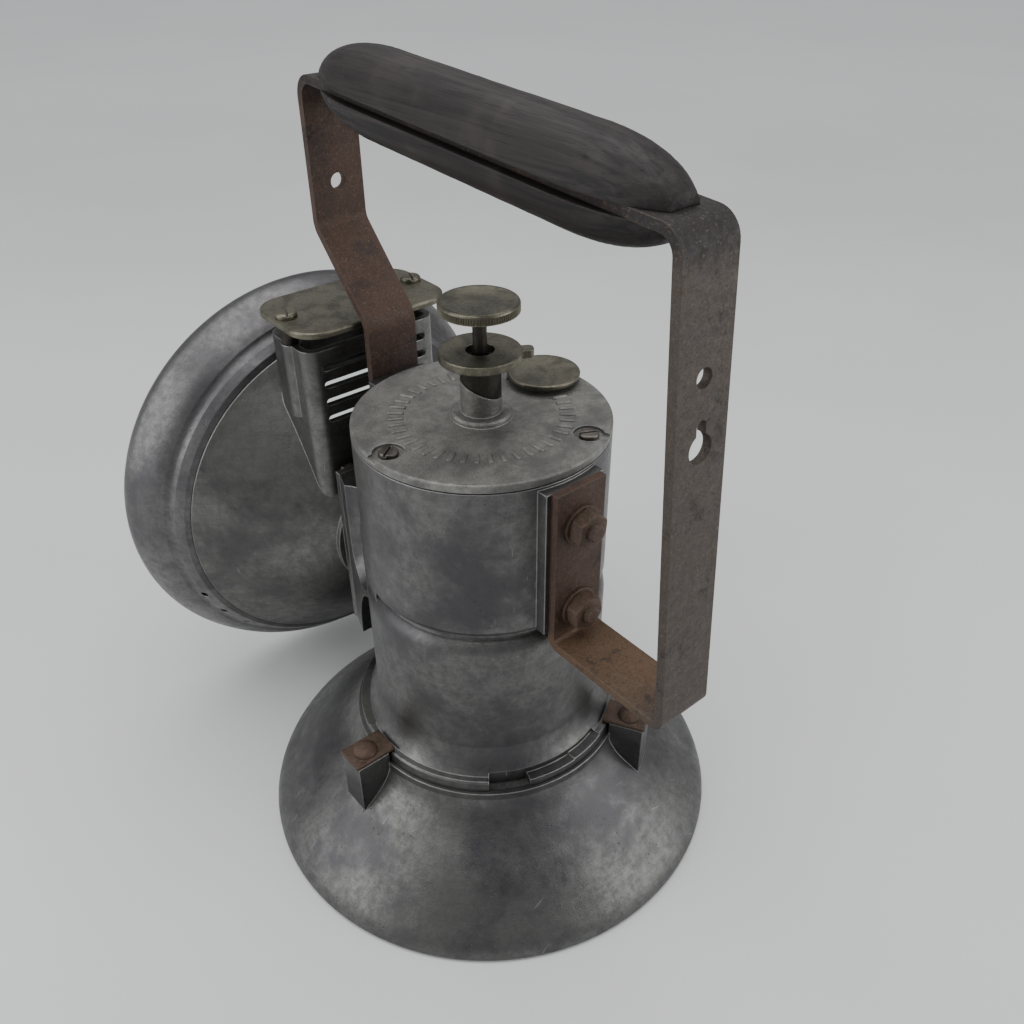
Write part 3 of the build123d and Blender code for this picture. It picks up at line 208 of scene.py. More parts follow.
def cast_metal(name, clean, stained, roughness, stain=(0.42, 0.62), grain=0.06, wide=22.0):
    """Cast aluminium: clean and stained are its colours, and grain is its skin's depth in mm."""
    material, tree, shader = new_finish(name)
    place = placed(tree)
    stains = window(tree, noise(tree, place, wide, 8, 0.68, 0.2), *stain)
    mottle = noise(tree, place, 240, 8, 0.75)
    rubbed = window(tree, noise(tree, place, 38, 8, 0.7), 0.5, 0.74)
    speckle = window(tree, noise(tree, place, 1300, 3, 0.7), 0.56, 0.7)
    cells = add(tree, "TexVoronoi", {"Vector": place, "Scale": 420.0}).outputs["Distance"]
    pits = window(tree, cells, 0.16, 0.05)
    pits = sums(tree, "MULTIPLY", pits, window(tree, noise(tree, place, 90, 2), 0.5, 0.62))
    fine = placed(tree, stretch=(70, 1400, 70), turn=SCRATCH_TURN)
    scratches = window(tree, noise(tree, fine, 1.0, 2, 0.5), 0.7, 0.78)
    scratches = sums(tree, "MULTIPLY", scratches, window(tree, noise(tree, place, 30, 2), 0.48, 0.62))
    brushing = noise(tree, placed(tree, stretch=(60, 60, 1500)), 1.0, 3, 0.6)
    soft, edges = worn_edges(tree, 0.7 * MM)
    colour = mixed(tree, stains, clean, stained)
    colour = mixed(tree, window(tree, brushing, 0.42, 0.7, 0, 0.2), colour, stained)
    colour = mixed(tree, window(tree, mottle, 0.35, 0.65, 0, 0.7), colour, tuple(0.55 * c for c in clean))
    colour = mixed(tree, sums(tree, "MULTIPLY", rubbed, 0.4), colour, tuple(1.35 * c for c in clean))
    colour = mixed(tree, sums(tree, "MULTIPLY", speckle, 0.5), colour, tuple(0.4 * c for c in clean))
    colour = mixed(tree, sums(tree, "MULTIPLY", pits, 0.75), colour, (0.03, 0.03, 0.032))
    colour = mixed(tree, sums(tree, "MULTIPLY", scratches, 0.4), colour, (0.45, 0.45, 0.45))
    colour = mixed(tree, sums(tree, "MULTIPLY", edges, 0.5), colour, (0.42, 0.42, 0.41))
    shine = sums(tree, "ADD", window(tree, mottle, 0.3, 0.75, -0.07, 0.09), roughness)
    shine = sums(tree, "SUBTRACT", shine, sums(tree, "MULTIPLY", rubbed, 0.04))
    height = sums(tree, "SUBTRACT", noise(tree, place, 1500, 4, 0.65), sums(tree, "MULTIPLY", pits, 1.4))
    normal = bumped(tree, mottle, 0.5 * MM, 0.25, soft)
    normal = bumped(tree, height, grain * MM, 0.8, normal)
    feed(tree, shader, Base_Color=colour, Roughness=shine, Metallic=0.88, Normal=normal)
    return material


finish = {
    "cast_aluminium": cast_metal(
        "cast_aluminium", (0.145, 0.145, 0.14), (0.064, 0.062, 0.068), 0.4, grain=0.09),
    "lid_casting": cast_metal(
        "lid_casting", (0.25, 0.248, 0.232), (0.13, 0.128, 0.122), 0.54, grain=0.4, wide=70),
    "head_aluminium": cast_metal(
        "head_aluminium", (0.17, 0.17, 0.16), (0.066, 0.064, 0.068), 0.4, (0.4, 0.62), grain=0.08),
    "ring_aluminium": cast_metal(
        "ring_aluminium", (0.15, 0.147, 0.147), (0.076, 0.072, 0.079), 0.4, (0.42, 0.66), grain=0.08),
}
print("aluminium finishes", len(finish))


# %% [markdown]
# ### Brass, bronze and steel
# The valve parts are brass gone olive and brown, in an uneven film. Faint brush marks run
# across the metal, and its edges are rubbed brighter.

# %% Tarnished brass and dull steel
def aged_metal(name, bright, dark, roughness, spread=(0.4, 0.66), edge=(0.45, 0.4, 0.28), edge_amount=0.5):
    """Metal under a film: bright and dark are its two colours, and edge is the colour of its wear."""
    material, tree, shader = new_finish(name)
    place = placed(tree)
    film = window(tree, noise(tree, place, 110, 6, 0.65, 0.5), *spread)
    fine = noise(tree, place, 900, 4, 0.7)
    soft, edges = worn_edges(tree, 0.45 * MM)
    brushed = noise(tree, placed(tree, stretch=(250, 4000, 250), turn=(0, 0, 30)), 1.0, 2)
    colour = mixed(tree, film, bright, dark)
    colour = mixed(tree, window(tree, fine, 0.5, 0.75, 0, 0.6), colour, tuple(0.45 * c for c in dark))
    streaks = window(tree, brushed, 0.55, 0.8, 0, 0.3)
    colour = mixed(tree, streaks, colour, tuple(min(1, 1.7 * c) for c in bright))
    colour = mixed(tree, sums(tree, "MULTIPLY", edges, edge_amount), colour, edge)
    shine = sums(tree, "ADD", window(tree, fine, 0.3, 0.8, -0.08, 0.14), roughness)
    normal = bumped(tree, fine, 0.05 * MM, 0.7, soft)
    normal = bumped(tree, brushed, 0.02 * MM, 0.5, normal)
    feed(tree, shader, Base_Color=colour, Roughness=shine, Metallic=0.9, Normal=normal)
    return material


finish["tarnished_brass"] = aged_metal(
    "tarnished_brass", (0.155, 0.146, 0.112), (0.085, 0.08, 0.063), 0.42, edge=(0.26, 0.24, 0.17))
finish["dark_brass"] = aged_metal(
    "dark_brass", (0.05, 0.045, 0.038), (0.018, 0.017, 0.016), 0.45, edge_amount=0.15)
finish["dull_steel"] = aged_metal(
    "dull_steel", (0.15, 0.135, 0.12), (0.06, 0.052, 0.046), 0.42, edge=(0.28, 0.27, 0.25))
finish["tinned_sheet"] = aged_metal(
    "tinned_sheet", (0.5, 0.5, 0.48), (0.24, 0.23, 0.21), 0.38, edge=(0.6, 0.6, 0.6))
print("metal finishes", len(finish))


# %% [markdown]
# ### Rusted strap and iron fasteners
# The handle was black-painted steel. Most paint has gone: the front of the strap is foxy
# rust, the rear leg is brown-grey and rubbed, and the top under the grip is nearly black.
# Where the change follows the object, the pattern reads the object's own height and depth.

# %% Rust
def rusted(name, rust, dark, rubbed, by_place):
    """Rusted steel. With by_place, the strap's legs, top and feet get their own tones."""
    material, tree, shader = new_finish(name)
    place = placed(tree)
    wide = noise(tree, place, 38, 6, 0.65, 0.4)
    fine = noise(tree, place, 420, 6, 0.72)
    grit = noise(tree, place, 1800, 3, 0.7)
    soft, edges = worn_edges(tree, 0.6 * MM)
    patches = window(tree, wide, 0.4, 0.6)
    colour = mixed(tree, patches, rust, tuple(0.6 * c for c in rust))
    colour = mixed(tree, window(tree, fine, 0.42, 0.62, 0, 0.7), colour, tuple(min(1, 1.5 * c) for c in rust))
    if by_place:
        spot = add(tree, "SeparateXYZ", {"Vector": add(tree, "TexCoord").outputs["Object"]})
        depth, height = spot.outputs["Y"], spot.outputs["Z"]
        uneven = sums(tree, "MULTIPLY", sums(tree, "SUBTRACT", wide, 0.5), 0.09)
        rear = window(tree, sums(tree, "ADD", depth, uneven), 0.075, 0.088)
        top = window(tree, sums(tree, "ADD", height, uneven), 0.262, 0.29)
        foot = window(tree, sums(tree, "ADD", height, uneven), 0.205, 0.18)
        front_foot = sums(tree, "MULTIPLY", foot, window(tree, depth, -0.02, -0.04))
        colour = mixed(tree, sums(tree, "MULTIPLY", rear, 0.85), colour, rubbed)
        colour = mixed(tree, sums(tree, "MULTIPLY", front_foot, 0.6), colour, (0.04, 0.032, 0.034))
        colour = mixed(tree, sums(tree, "MULTIPLY", top, 0.9), colour, dark)
        lowest = window(tree, height, 0.129, 0.124)
        low_foot = sums(tree, "MULTIPLY", lowest, window(tree, depth, 0.108, 0.088))
        colour = mixed(tree, sums(tree, "MULTIPLY", low_foot, 0.75), colour, (0.125, 0.075, 0.042))
    flakes = window(tree, noise(tree, place, 75, 8, 0.75), 0.56, 0.62)
    colour = mixed(tree, sums(tree, "MULTIPLY", flakes, 0.55), colour, dark)
    colour = mixed(tree, window(tree, grit, 0.5, 0.62, 0, 0.55), colour, tuple(0.3 * c for c in rust))
    dust = window(tree, noise(tree, place, 1100, 3, 0.7), 0.56, 0.68, 0, 0.45)
    colour = mixed(tree, dust, colour, (0.16, 0.115, 0.075))
    colour = mixed(tree, sums(tree, "MULTIPLY", edges, 0.35), colour, (0.17, 0.135, 0.11))
    shine = window(tree, fine, 0.3, 0.7, 0.5, 0.78)
    normal = bumped(tree, fine, 0.12 * MM, 0.8, soft)
    normal = bumped(tree, grit, 0.05 * MM, 0.7, normal)
    feed(tree, shader, Base_Color=colour, Roughness=shine, Metallic=0.35, Normal=normal)
    return material


finish["rusted_strap"] = rusted(
    "rusted_strap", (0.058, 0.032, 0.022), (0.014, 0.012, 0.013), (0.062, 0.054, 0.046), by_place=True)
finish["rusty_iron"] = rusted(
    "rusty_iron", (0.075, 0.046, 0.032), (0.02, 0.017, 0.016), (0.1, 0.085, 0.075), by_place=False)
print("rust finishes ready")


# %% [markdown]
# ### Wood, rubber, felt, glass, reflector and the stone burner tip
# The grip's grain is noise stretched along the wood, with pores and a few old marks in it.
# The hidden soft parts and the reflector need only a fine grain, and the lens is clear glass
# under a little dust.

# %% Soft and clear finishes
def dark_wood():
    """Nearly black hardwood, worn a little paler in patches and along its edges."""
    material, tree, shader = new_finish("dark_wood")
    along = placed(tree, stretch=(420, 10, 420), turn=(3.5, 0, 0))
    grain = noise(tree, along, 1.0, 6, 0.6, 0.6)
    short_grain = placed(tree, stretch=(1500, 45, 1500), turn=(3.5, 0, 0))
    pores = window(tree, noise(tree, short_grain, 1.0, 2), 0.6, 0.72)
    place = placed(tree)
    worn = window(tree, noise(tree, place, 42, 5, 0.6, 0.3), 0.5, 0.7)
    marks = window(tree, noise(tree, placed(tree, stretch=(60, 900, 60), turn=(0, 0, 62)), 1.0, 2), 0.7, 0.77)
    colour = mixed(tree, window(tree, grain, 0.35, 0.65), (0.017, 0.013, 0.012), (0.007, 0.006, 0.006))
    colour = mixed(tree, sums(tree, "MULTIPLY", worn, 0.6), colour, (0.032, 0.025, 0.022))
    colour = mixed(tree, sums(tree, "MULTIPLY", pores, 0.6), colour, (0.006, 0.005, 0.005))
    colour = mixed(tree, sums(tree, "MULTIPLY", marks, 0.4), colour, (0.08, 0.068, 0.06))
    soft, edges = worn_edges(tree, 0.8 * MM)
    colour = mixed(tree, sums(tree, "MULTIPLY", edges, 0.3), colour, (0.05, 0.04, 0.035))
    normal = bumped(tree, grain, 0.25 * MM, 0.5, soft)
    normal = bumped(tree, pores, -0.15 * MM, 0.6, normal)
    shine = window(tree, grain, 0.3, 0.7, 0.48, 0.66)
    feed(tree, shader, Base_Color=colour, Roughness=shine, Normal=normal, Specular_IOR_Level=0.3)
    return material


def plain_grain(name, colour, shade, roughness, scale, height, metallic=0.0):
    """Rubber, felt, steatite and bright reflector share one tree: a fine grain in two shades."""
    material, tree, shader = new_finish(name)
    fine = noise(tree, placed(tree), scale, 5, 0.65)
    tone = mixed(tree, window(tree, fine, 0.35, 0.7), colour, shade)
    shine = window(tree, fine, 0.3, 0.7, roughness - 0.05, roughness + 0.08)
    feed(tree, shader, Base_Color=tone, Roughness=shine, Metallic=metallic,
         Normal=bumped(tree, fine, height * MM, 0.6))
    return material


def clear_glass():
    """Clear lens glass, roughened in patches by dust."""
    material, tree, shader = new_finish("clear_glass")
    dust = window(tree, noise(tree, placed(tree), 35, 6, 0.7), 0.45, 0.8, 0.02, 0.12)
    feed(tree, shader, Base_Color=(0.93, 0.96, 0.94, 1), Roughness=dust, IOR=1.5, Transmission_Weight=1.0)
    return material


finish["dark_wood"] = dark_wood()
finish["black_rubber"] = plain_grain("black_rubber", (0.02, 0.02, 0.02), (0.045, 0.043, 0.04), 0.7, 600, 0.06)
finish["grey_felt"] = plain_grain("grey_felt", (0.3, 0.29, 0.27), (0.16, 0.155, 0.15), 0.9, 1400, 0.3)
finish["pale_steatite"] = plain_grain("pale_steatite", (0.68, 0.64, 0.55), (0.5, 0.45, 0.37), 0.6, 500, 0.04)
finish["bright_reflector"] = plain_grain(
    "bright_reflector", (0.8, 0.8, 0.78), (0.6, 0.6, 0.58), 0.2, 70, 0.02, metallic=1.0)
finish["clear_glass"] = clear_glass()
print("finishes", sorted(finish))

# %% [markdown]
# Each engineering part already names its finish in the record, so painting the lamp is one loop.

# %% Paint the engineering parts
for entry in frame["record"]["subparts"]:
    for slot in nodes[entry["node"]].material_slots:
        slot.material = finish[entry["material_slot"]]
print("painted")

# %% [markdown]
# ## Modelling the small parts by hand
# Each piece below starts as a primitive and is worked in edit mode, then takes the place of
# the plain engineering part. A few helpers keep the steps short: enter edit mode, pick
# vertices or faces by where they are, and finish a piece.

# %% Modelling helpers
def edit(piece):
    """Enter edit mode on one piece alone."""
    if bpy.context.object and bpy.context.object.mode == "EDIT":
        bpy.ops.object.mode_set(mode="OBJECT")
    bpy.ops.object.select_all(action="DESELECT")
    bpy.context.view_layer.objects.active = piece
    piece.select_set(True)
    bpy.ops.object.mode_set(mode="EDIT")


def pick(kind, test):
    """Select the vertices, edges or faces that pass a test, and nothing else."""
    bpy.ops.mesh.select_mode(type=kind)
    bpy.ops.mesh.select_all(action="DESELECT")
    shape = bmesh.from_edit_mesh(bpy.context.object.data)
    parts = {"VERT": shape.verts, "EDGE": shape.edges, "FACE": shape.faces}[kind]
    for part in parts:
        if test(part):
            part.select_set(True)
    bmesh.update_edit_mesh(bpy.context.object.data)


def move_picked(x=0.0, y=0.0, z=0.0):
    """Moves what is selected, in metres."""
    bpy.ops.transform.translate(value=(x, y, z))


def finished(piece, name, slot, body, stands_for=(), smooth=35):
    """Names and paints a piece, fixes its place into its vertices and hands it to a body."""
    if piece.mode == "EDIT":
        bpy.ops.mesh.select_all(action="SELECT")
        bpy.ops.mesh.normals_make_consistent(inside=False)
        bpy.ops.object.mode_set(mode="OBJECT")
    bpy.ops.object.transform_apply(location=True, rotation=True, scale=True)
    piece.name = name
    piece.data.materials.clear()
    piece.data.materials.append(finish[slot])
    bpy.ops.object.shade_smooth_by_angle(angle=radians(smooth))
    if stands_for:
        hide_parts(*stands_for)
    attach(piece, body)
    print(name, len(piece.data.polygons), "faces")


def join(pieces):
    """Joins several pieces into the first."""
    bpy.ops.object.select_all(action="DESELECT")
    for piece in pieces:
        piece.select_set(True)
    bpy.context.view_layer.objects.active = pieces[0]
    bpy.ops.object.join()
    return pieces[0]


print("modelling helpers ready")

# %% [markdown]
# ### The knurled knob
# The top knob closes the water valve by hand, so its rim is knurled for grip. The rim is
# many narrow faces; insetting each one by itself leaves fine upright ridges between hollows.
# The top is stepped down a little inside the rim, as a lathe would leave it.

# %% Valve knob
KNURLS = 96
KNURL_DEPTH = 0.7 * MM
low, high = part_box("valve_knob")
knob_r = (high.x - low.x) / 2
knob_z = (low.z + high.z) / 2
bpy.ops.object.select_all(action="DESELECT")
bpy.ops.mesh.primitive_cylinder_add(vertices=KNURLS, radius=knob_r, depth=high.z - low.z,
                                    location=(0, 0, knob_z))
knob = bpy.context.object
edit(knob)
pick("EDGE", lambda line: line.verts[0].co.z > 0 and line.verts[1].co.z > 0)
bpy.ops.mesh.bevel(offset=1.0 * MM, segments=3, affect="EDGES")
pick("FACE", lambda face: abs(face.normal.z) < 0.1)
bpy.ops.mesh.inset(thickness=0.2 * MM, depth=-KNURL_DEPTH, use_individual=True)
pick("FACE", lambda face: face.normal.z > 0.9 and face.calc_area() > 1e-4)
bpy.ops.mesh.inset(thickness=1.1 * MM, depth=0)
bpy.ops.mesh.inset(thickness=0.3 * MM, depth=-0.1 * MM)
finished(knob, "valve_knob_detailed", "tarnished_brass", "needle", ["valve_knob"])

# %% [markdown]
# ### The filler cap
# A pressed brass disc covers the filling hole and swings aside on a pin. It is very slightly
# dished, with a soft rim: round the outer edges, then inset the top twice and push the
# middle down by about a tenth of a millimetre.

# %% Filler cap
low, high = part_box("filler_cap")
bpy.ops.object.select_all(action="DESELECT")
bpy.ops.mesh.primitive_cylinder_add(vertices=96, radius=(high.x - low.x) / 2, depth=high.z - low.z,
                                    location=(low + high) / 2)
cap = bpy.context.object
edit(cap)
pick("EDGE", lambda line: line.verts[0].co.z * line.verts[1].co.z > 0)
bpy.ops.mesh.bevel(offset=0.55 * MM, segments=3, affect="EDGES")
pick("FACE", lambda face: face.normal.z > 0.9 and face.calc_area() > 1e-4)
bpy.ops.mesh.inset(thickness=0.9 * MM, depth=0)
bpy.ops.mesh.inset(thickness=0.6 * MM, depth=-0.12 * MM)
finished(cap, "filler_cap_dished", "tarnished_brass", "filler_lid", ["filler_cap"])

# %% [markdown]
# ### Chamfered nuts
# A hexagon nut is a six-sided prism whose corners are cut by a turned cone. Here the cone is
# a cylinder with both rims bevelled, and the Boolean keeps what the two have in common.

# %% One nut
NUT_THICK = 5.4 * MM
NUT_FLAT_R = 6.0 * MM
NUT_CHAMFER = 0.95 * MM
bpy.ops.object.select_all(action="DESELECT")
bpy.ops.mesh.primitive_cylinder_add(vertices=72, radius=NUT_FLAT_R * 1.17, depth=NUT_THICK)
cone = bpy.context.object
edit(cone)
pick("EDGE", lambda line: line.verts[0].co.z * line.verts[1].co.z > 0)
bpy.ops.mesh.bevel(offset=NUT_CHAMFER, segments=2, affect="EDGES")
bpy.ops.object.mode_set(mode="OBJECT")
bpy.ops.mesh.primitive_cylinder_add(vertices=6, radius=NUT_FLAT_R / cos(pi / 6), depth=NUT_THICK)
nut = bpy.context.object
bpy.ops.object.modifier_add(type="BOOLEAN")
nut.modifiers[-1].operation = "INTERSECT"
nut.modifiers[-1].object = cone
bpy.ops.object.modifier_apply(modifier=nut.modifiers[-1].name)
bpy.data.objects.remove(cone)
print("nut", len(nut.data.polygons), "faces")

# %% [markdown]
# ### Threaded studs
# A thread is a V carried round and along the stud. One corner of a small square is deleted
# to leave a V, and the Screw modifier winds it. Both ends are then cut square and filled.

# %% One threaded stud
PITCH = 1.0 * MM
STUD_R = 3.1 * MM
STUD_LENGTH = 16.6 * MM
bpy.ops.object.select_all(action="DESELECT")
bpy.ops.mesh.primitive_plane_add(size=PITCH / 2 ** 0.5)
stud = bpy.context.object
edit(stud)
bpy.ops.transform.rotate(value=radians(45), orient_axis="Z", center_override=(0, 0, 0))
pick("VERT", lambda vert: vert.co.x > PITCH / 4)
bpy.ops.mesh.delete(type="VERT")
bpy.ops.mesh.select_all(action="SELECT")
bpy.ops.transform.rotate(value=radians(90), orient_axis="X", center_override=(0, 0, 0))
move_picked(x=STUD_R)
bpy.ops.object.mode_set(mode="OBJECT")
bpy.ops.object.modifier_add(type="SCREW")
winding = stud.modifiers[-1]
winding.screw_offset = PITCH
winding.iterations = int(STUD_LENGTH / PITCH) + 4
winding.steps = 40
winding.use_merge_vertices = True
winding.merge_threshold = 0.01 * MM
bpy.ops.object.modifier_apply(modifier=winding.name)
edit(stud)
for height, outer in ((2 * PITCH + STUD_LENGTH, True), (2 * PITCH, False)):
    bpy.ops.mesh.select_all(action="SELECT")
    bpy.ops.mesh.bisect(plane_co=(0, 0, height), plane_no=(0, 0, 1), use_fill=True,
                        clear_outer=outer, clear_inner=not outer)
bpy.ops.mesh.select_all(action="SELECT")
move_picked(z=-2 * PITCH)
bpy.ops.object.mode_set(mode="OBJECT")
print("stud", len(stud.data.polygons), "faces")

# %% [markdown]
# Two studs hold each foot of the strap. Each stud and nut is a copy laid level, pointing away
# from the lamp, and turned by its own angle so that no two sit alike.

# %% Four studs and four nuts in place
REAR_HEIGHTS = (171.9 * MM, 135.6 * MM)
FRONT_HEIGHTS = (178.0 * MM, 159.0 * MM)


def copies_along_y(source, places):
    """Copies laid along Y at each (y, z, turn, facing), joined into one piece."""
    made = []
    for y, z, turn, facing in places:
        bpy.ops.object.select_all(action="DESELECT")
        bpy.context.view_layer.objects.active = source
        source.select_set(True)
        bpy.ops.object.duplicate()
        copy = bpy.context.object
        copy.rotation_euler = (radians(-90 * facing), 0, 0)
        copy.location = (0, y, z)
        edit(copy)
        bpy.ops.mesh.select_all(action="SELECT")
        bpy.ops.transform.rotate(value=radians(turn), orient_axis="Z", orient_type="LOCAL",
                                 center_override=(0, y, z))
        bpy.ops.object.mode_set(mode="OBJECT")
        made.append(copy)
    bpy.data.objects.remove(source)
    return join(made)


studs_low, studs_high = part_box("strap_studs")
nuts_low, nuts_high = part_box("strap_nuts")
stud_places = [(studs_high.y - STUD_LENGTH, z, 40 * z / MM, 1) for z in REAR_HEIGHTS]
stud_places += [(studs_low.y + STUD_LENGTH, z, 70 * z / MM, -1) for z in FRONT_HEIGHTS]
nut_places = [(nuts_high.y - NUT_THICK / 2, z, turn, 1) for z, turn in zip(REAR_HEIGHTS, (9, 52))]
nut_places += [(nuts_low.y + NUT_THICK / 2, z, turn, -1) for z, turn in zip(FRONT_HEIGHTS, (20, 41))]
finished(copies_along_y(stud, stud_places), "studs_threaded", "rusty_iron", "lamp_body", ["strap_studs"], 25)
finished(copies_along_y(nut, nut_places), "nuts_chamfered", "rusty_iron", "lamp_body", ["strap_nuts"], 25)

# %% [markdown]
# ### Hook plates and hammered rivets
# Three iron plates reach over the body's flange, each held to the base by a rivet hammered
# over cold. A plate is a bevelled box, divided and pushed about a little; a rivet head is the
# top of a sphere, pressed flat and dented.

# %% One hook plate
plate_low, plate_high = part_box("hook_plates")
HOOK_THICK = plate_high.z - plate_low.z
HOOK_FROM, HOOK_TO, HOOK_HALF = 54.6 * MM, 73.2 * MM, 6.4 * MM
HOOK_WEAR = 0.05 * MM
hook_middle = ((HOOK_FROM + HOOK_TO) / 2, 0, plate_low.z + HOOK_THICK / 2)
bpy.ops.object.select_all(action="DESELECT")
bpy.ops.mesh.primitive_cube_add(size=1, location=hook_middle)
plate = bpy.context.object
plate.scale = (HOOK_TO - HOOK_FROM - 0.2 * MM, 2 * HOOK_HALF - 0.2 * MM, HOOK_THICK - 0.1 * MM)
bpy.ops.object.transform_apply(location=False, rotation=False, scale=True)
edit(plate)
bpy.ops.mesh.select_all(action="SELECT")
bpy.ops.mesh.bevel(offset=0.4 * MM, segments=2, affect="EDGES")
bpy.ops.mesh.select_all(action="SELECT")
bpy.ops.mesh.subdivide(number_cuts=5)
bpy.ops.mesh.select_all(action="SELECT")
bpy.ops.transform.vertex_random(offset=HOOK_WEAR, uniform=1.0, seed=4)
bpy.ops.object.mode_set(mode="OBJECT")

# %% [markdown]
# The sphere is cut at the plate's top and squashed to the height of the real head. Its rim
# stays on the plate while the rest is dented. One plate and one head then make three of each.

# %% One hammered rivet head, then three of each
rivet_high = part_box("hook_rivets")[1]
RIVET_PLACE = 65.1 * MM
RIVET_DENTS = 0.09 * MM
RIVET_HEAD_R, RIVET_HEAD_HIGH = 5.1 * MM, rivet_high.z - plate_high.z
bpy.ops.mesh.primitive_uv_sphere_add(segments=40, ring_count=20, radius=RIVET_HEAD_R,
                                     location=(RIVET_PLACE, 0, plate_high.z - 0.05 * MM))
rivet = bpy.context.object
edit(rivet)
bpy.ops.mesh.select_all(action="SELECT")
bpy.ops.mesh.bisect(plane_co=rivet.location, plane_no=(0, 0, 1), use_fill=True, clear_inner=True)
bpy.ops.mesh.select_all(action="SELECT")
bpy.ops.transform.resize(value=(1, 1, 0.93 * RIVET_HEAD_HIGH / RIVET_HEAD_R), center_override=rivet.location)
pick("VERT", lambda vert: vert.co.z > 0.1 * MM)
bpy.ops.transform.vertex_random(offset=RIVET_DENTS, uniform=1.0, seed=11)
bpy.ops.object.mode_set(mode="OBJECT")


def turned_copies(source, count):
    """Copies spaced equally round the lamp's axis, joined into one piece."""
    bpy.ops.object.select_all(action="DESELECT")
    bpy.context.view_layer.objects.active = source
    source.select_set(True)
    bpy.ops.object.transform_apply(location=True, rotation=True, scale=True)
    made = [source]
    for step in range(1, count):
        bpy.ops.object.select_all(action="DESELECT")
        bpy.context.view_layer.objects.active = source
        source.select_set(True)
        bpy.ops.object.duplicate()
        bpy.context.object.rotation_euler.z = 2 * pi * step / count
        made.append(bpy.context.object)
    return join(made)


finished(turned_copies(plate, 3), "hook_plates_worn", "rusty_iron", "base", ["hook_plates"], 50)
finished(turned_copies(rivet, 3), "hook_rivet_heads", "rusty_iron", "base", ["hook_rivets"], 50)

# %% [markdown]
# ### The lid's raised ornament
# The lid carries a cast ring of small raised bars. One soft bar is modelled and copied round
# the axis, and the bars nearest the filler cap are taken out again.

# %% Lid ornament
LID_TOP = 191.8 * MM
BAR_COUNT = 44
BAR_RING_R = 31.6 * MM
BAR_MIDDLE_Z = LID_TOP + 0.1 * MM
BAR_SIZE = (6.0 * MM, 1.7 * MM, 1.0 * MM)
FILLER_CLEAR_R = 10.6 * MM
filler_low, filler_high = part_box("filler_cap")
filler_spot = (filler_low + filler_high) / 2


def near_filler(vert):
    """True under the filler cap and just round it."""
    return (vert.co.x - filler_spot.x) ** 2 + (vert.co.y - filler_spot.y) ** 2 < FILLER_CLEAR_R ** 2


bpy.ops.object.select_all(action="DESELECT")
bpy.ops.mesh.primitive_cube_add(size=1, location=(BAR_RING_R, 0, BAR_MIDDLE_Z))
bar = bpy.context.object
bar.scale = BAR_SIZE
bpy.ops.object.transform_apply(location=False, rotation=False, scale=True)
edit(bar)
pick("EDGE", lambda line: line.verts[0].co.z + line.verts[1].co.z > -0.1 * MM)
bpy.ops.mesh.bevel(offset=0.42 * MM, segments=3, affect="EDGES")
bpy.ops.object.mode_set(mode="OBJECT")
ring = turned_copies(bar, BAR_COUNT)
edit(ring)
pick("VERT", near_filler)
bpy.ops.mesh.select_linked()
bpy.ops.mesh.delete(type="VERT")
finished(ring, "lid_ornament", "lid_casting", "lamp_body")

# %% [markdown]
# ### The hand-shaved grip
# Two wooden scales sit above and below the strap. They start from the engineering shape,
# merged back to whole faces, are cut across into short lengths, and are then pushed about
# slightly, so the surface has the flats and hollows a spokeshave leaves.

# %% Grip scales
GRIP_CUTS = 26
SHAVE_DEPTH = 0.07 * MM


def off_edges(vert):
    """True on the broad faces, clear of sharp edges and of the middle line."""
    return vert.is_manifold and vert.calc_shell_factor() < 1.12 and abs(vert.co.x) > 2 * MM


def shaved(node_name, name, seed):
    """Replaces one half of the grip with a copy that has uneven, hand-worked faces."""
    source = nodes[node_name]
    scale = source.copy()
    scale.data = source.data.copy()
    scale.parent = None
    bpy.context.scene.collection.objects.link(scale)
    edit(scale)
    bpy.ops.mesh.select_all(action="SELECT")
    bpy.ops.mesh.remove_doubles(threshold=0.01 * MM)
    bpy.ops.mesh.dissolve_limited(angle_limit=radians(1))
    low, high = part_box(node_name)
    for step in range(1, GRIP_CUTS):
        bpy.ops.mesh.select_all(action="SELECT")
        y = low.y + (high.y - low.y) * step / GRIP_CUTS
        bpy.ops.mesh.bisect(plane_co=(0, y, 0), plane_no=(0, 1, 0))
    pick("VERT", off_edges)
    bpy.ops.transform.vertex_random(offset=SHAVE_DEPTH, uniform=1.0, seed=seed)
    finished(scale, name, "dark_wood", "lamp_body", [node_name], 28)


shaved("grip_upper", "grip_upper_shaved", 5)
shaved("grip_lower", "grip_lower_shaved", 8)

# %% [markdown]
# ## Floor and light
# The floor is a wide pale disc just under the lamp. It glows faintly far out, so that it
# meets the background softly.

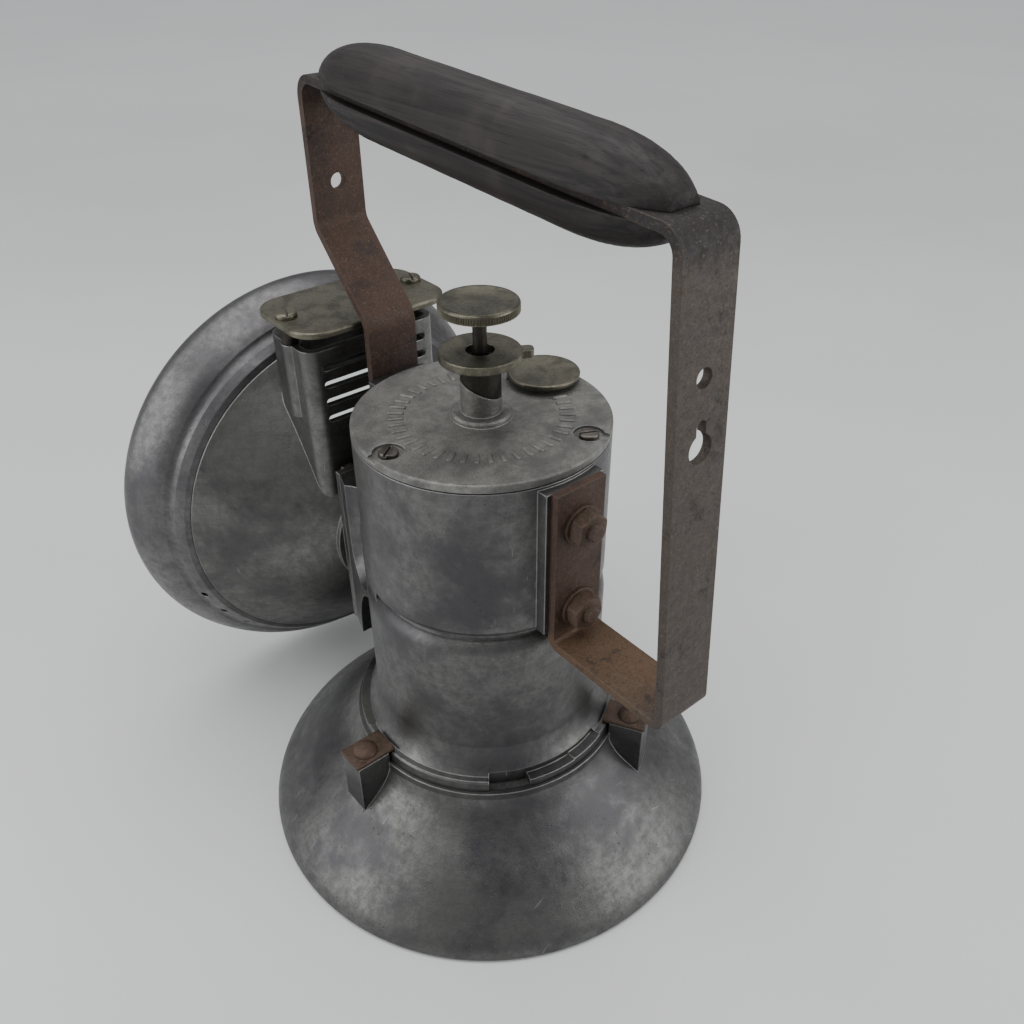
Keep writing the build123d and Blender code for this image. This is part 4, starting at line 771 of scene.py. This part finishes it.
# %% Floor
FLOOR_R = 7.0
FLOOR_GAP = 0.0002
bpy.ops.object.select_all(action="DESELECT")
bpy.ops.mesh.primitive_circle_add(vertices=96, radius=FLOOR_R, fill_type="NGON", location=(0, 0, -FLOOR_GAP))
floor = bpy.context.object
floor.name = "floor"
material, tree, shader = new_finish("pale_floor")
tone = noise(tree, placed(tree), 3, 3)
away = add(tree, "VectorMath", {0: placed(tree)}, operation="LENGTH").outputs["Value"]
pale = mixed(tree, window(tree, tone, 0.3, 0.7), (0.62, 0.625, 0.63), (0.66, 0.665, 0.665))
glow = window(tree, away, 0.35, 1.9, 0, 0.3)
feed(tree, shader, Base_Color=pale, Roughness=0.75,
     Emission_Color=(0.98, 0.985, 1, 1), Emission_Strength=glow)
floor.data.materials.append(material)

# %% [markdown]
# Three broad soft lights stand round the lamp, one above it and one on each side, and a dim
# grey world fills the shadows between them, as in a light tent.


# %% Lights
def softbox(name, place, aim, size, power):
    """A rectangular light of size metres and power watts, aimed at a point."""
    data = bpy.data.lights.new(name, "AREA")
    data.shape = "RECTANGLE"
    data.size, data.size_y = size
    data.energy = power
    lamp = bpy.data.objects.new(name, data)
    lamp.location = place
    lamp.rotation_euler = (Vector(aim) - Vector(place)).to_track_quat("-Z", "Y").to_euler()
    bpy.context.scene.collection.objects.link(lamp)


middle = (cad_box[0] + cad_box[1]) / 2
softbox("top_light", (0.0, -0.1, 1.1), middle, size=(1.2, 1.2), power=12)
softbox("left_light", (0.95, -0.35, 0.55), middle, size=(0.9, 0.9), power=7)
softbox("right_light", (-0.6, 0.85, 0.5), middle, size=(0.9, 0.9), power=7)
world = bpy.data.worlds.new("tent")
world.use_nodes = True
world.node_tree.nodes["Background"].inputs["Color"].default_value = (0.75, 0.76, 0.78, 1)
world.node_tree.nodes["Background"].inputs["Strength"].default_value = 0.45
bpy.context.scene.world = world

# %% [markdown]
# ## The last cell
# It only imports the json module.

# %% The last cell
import json
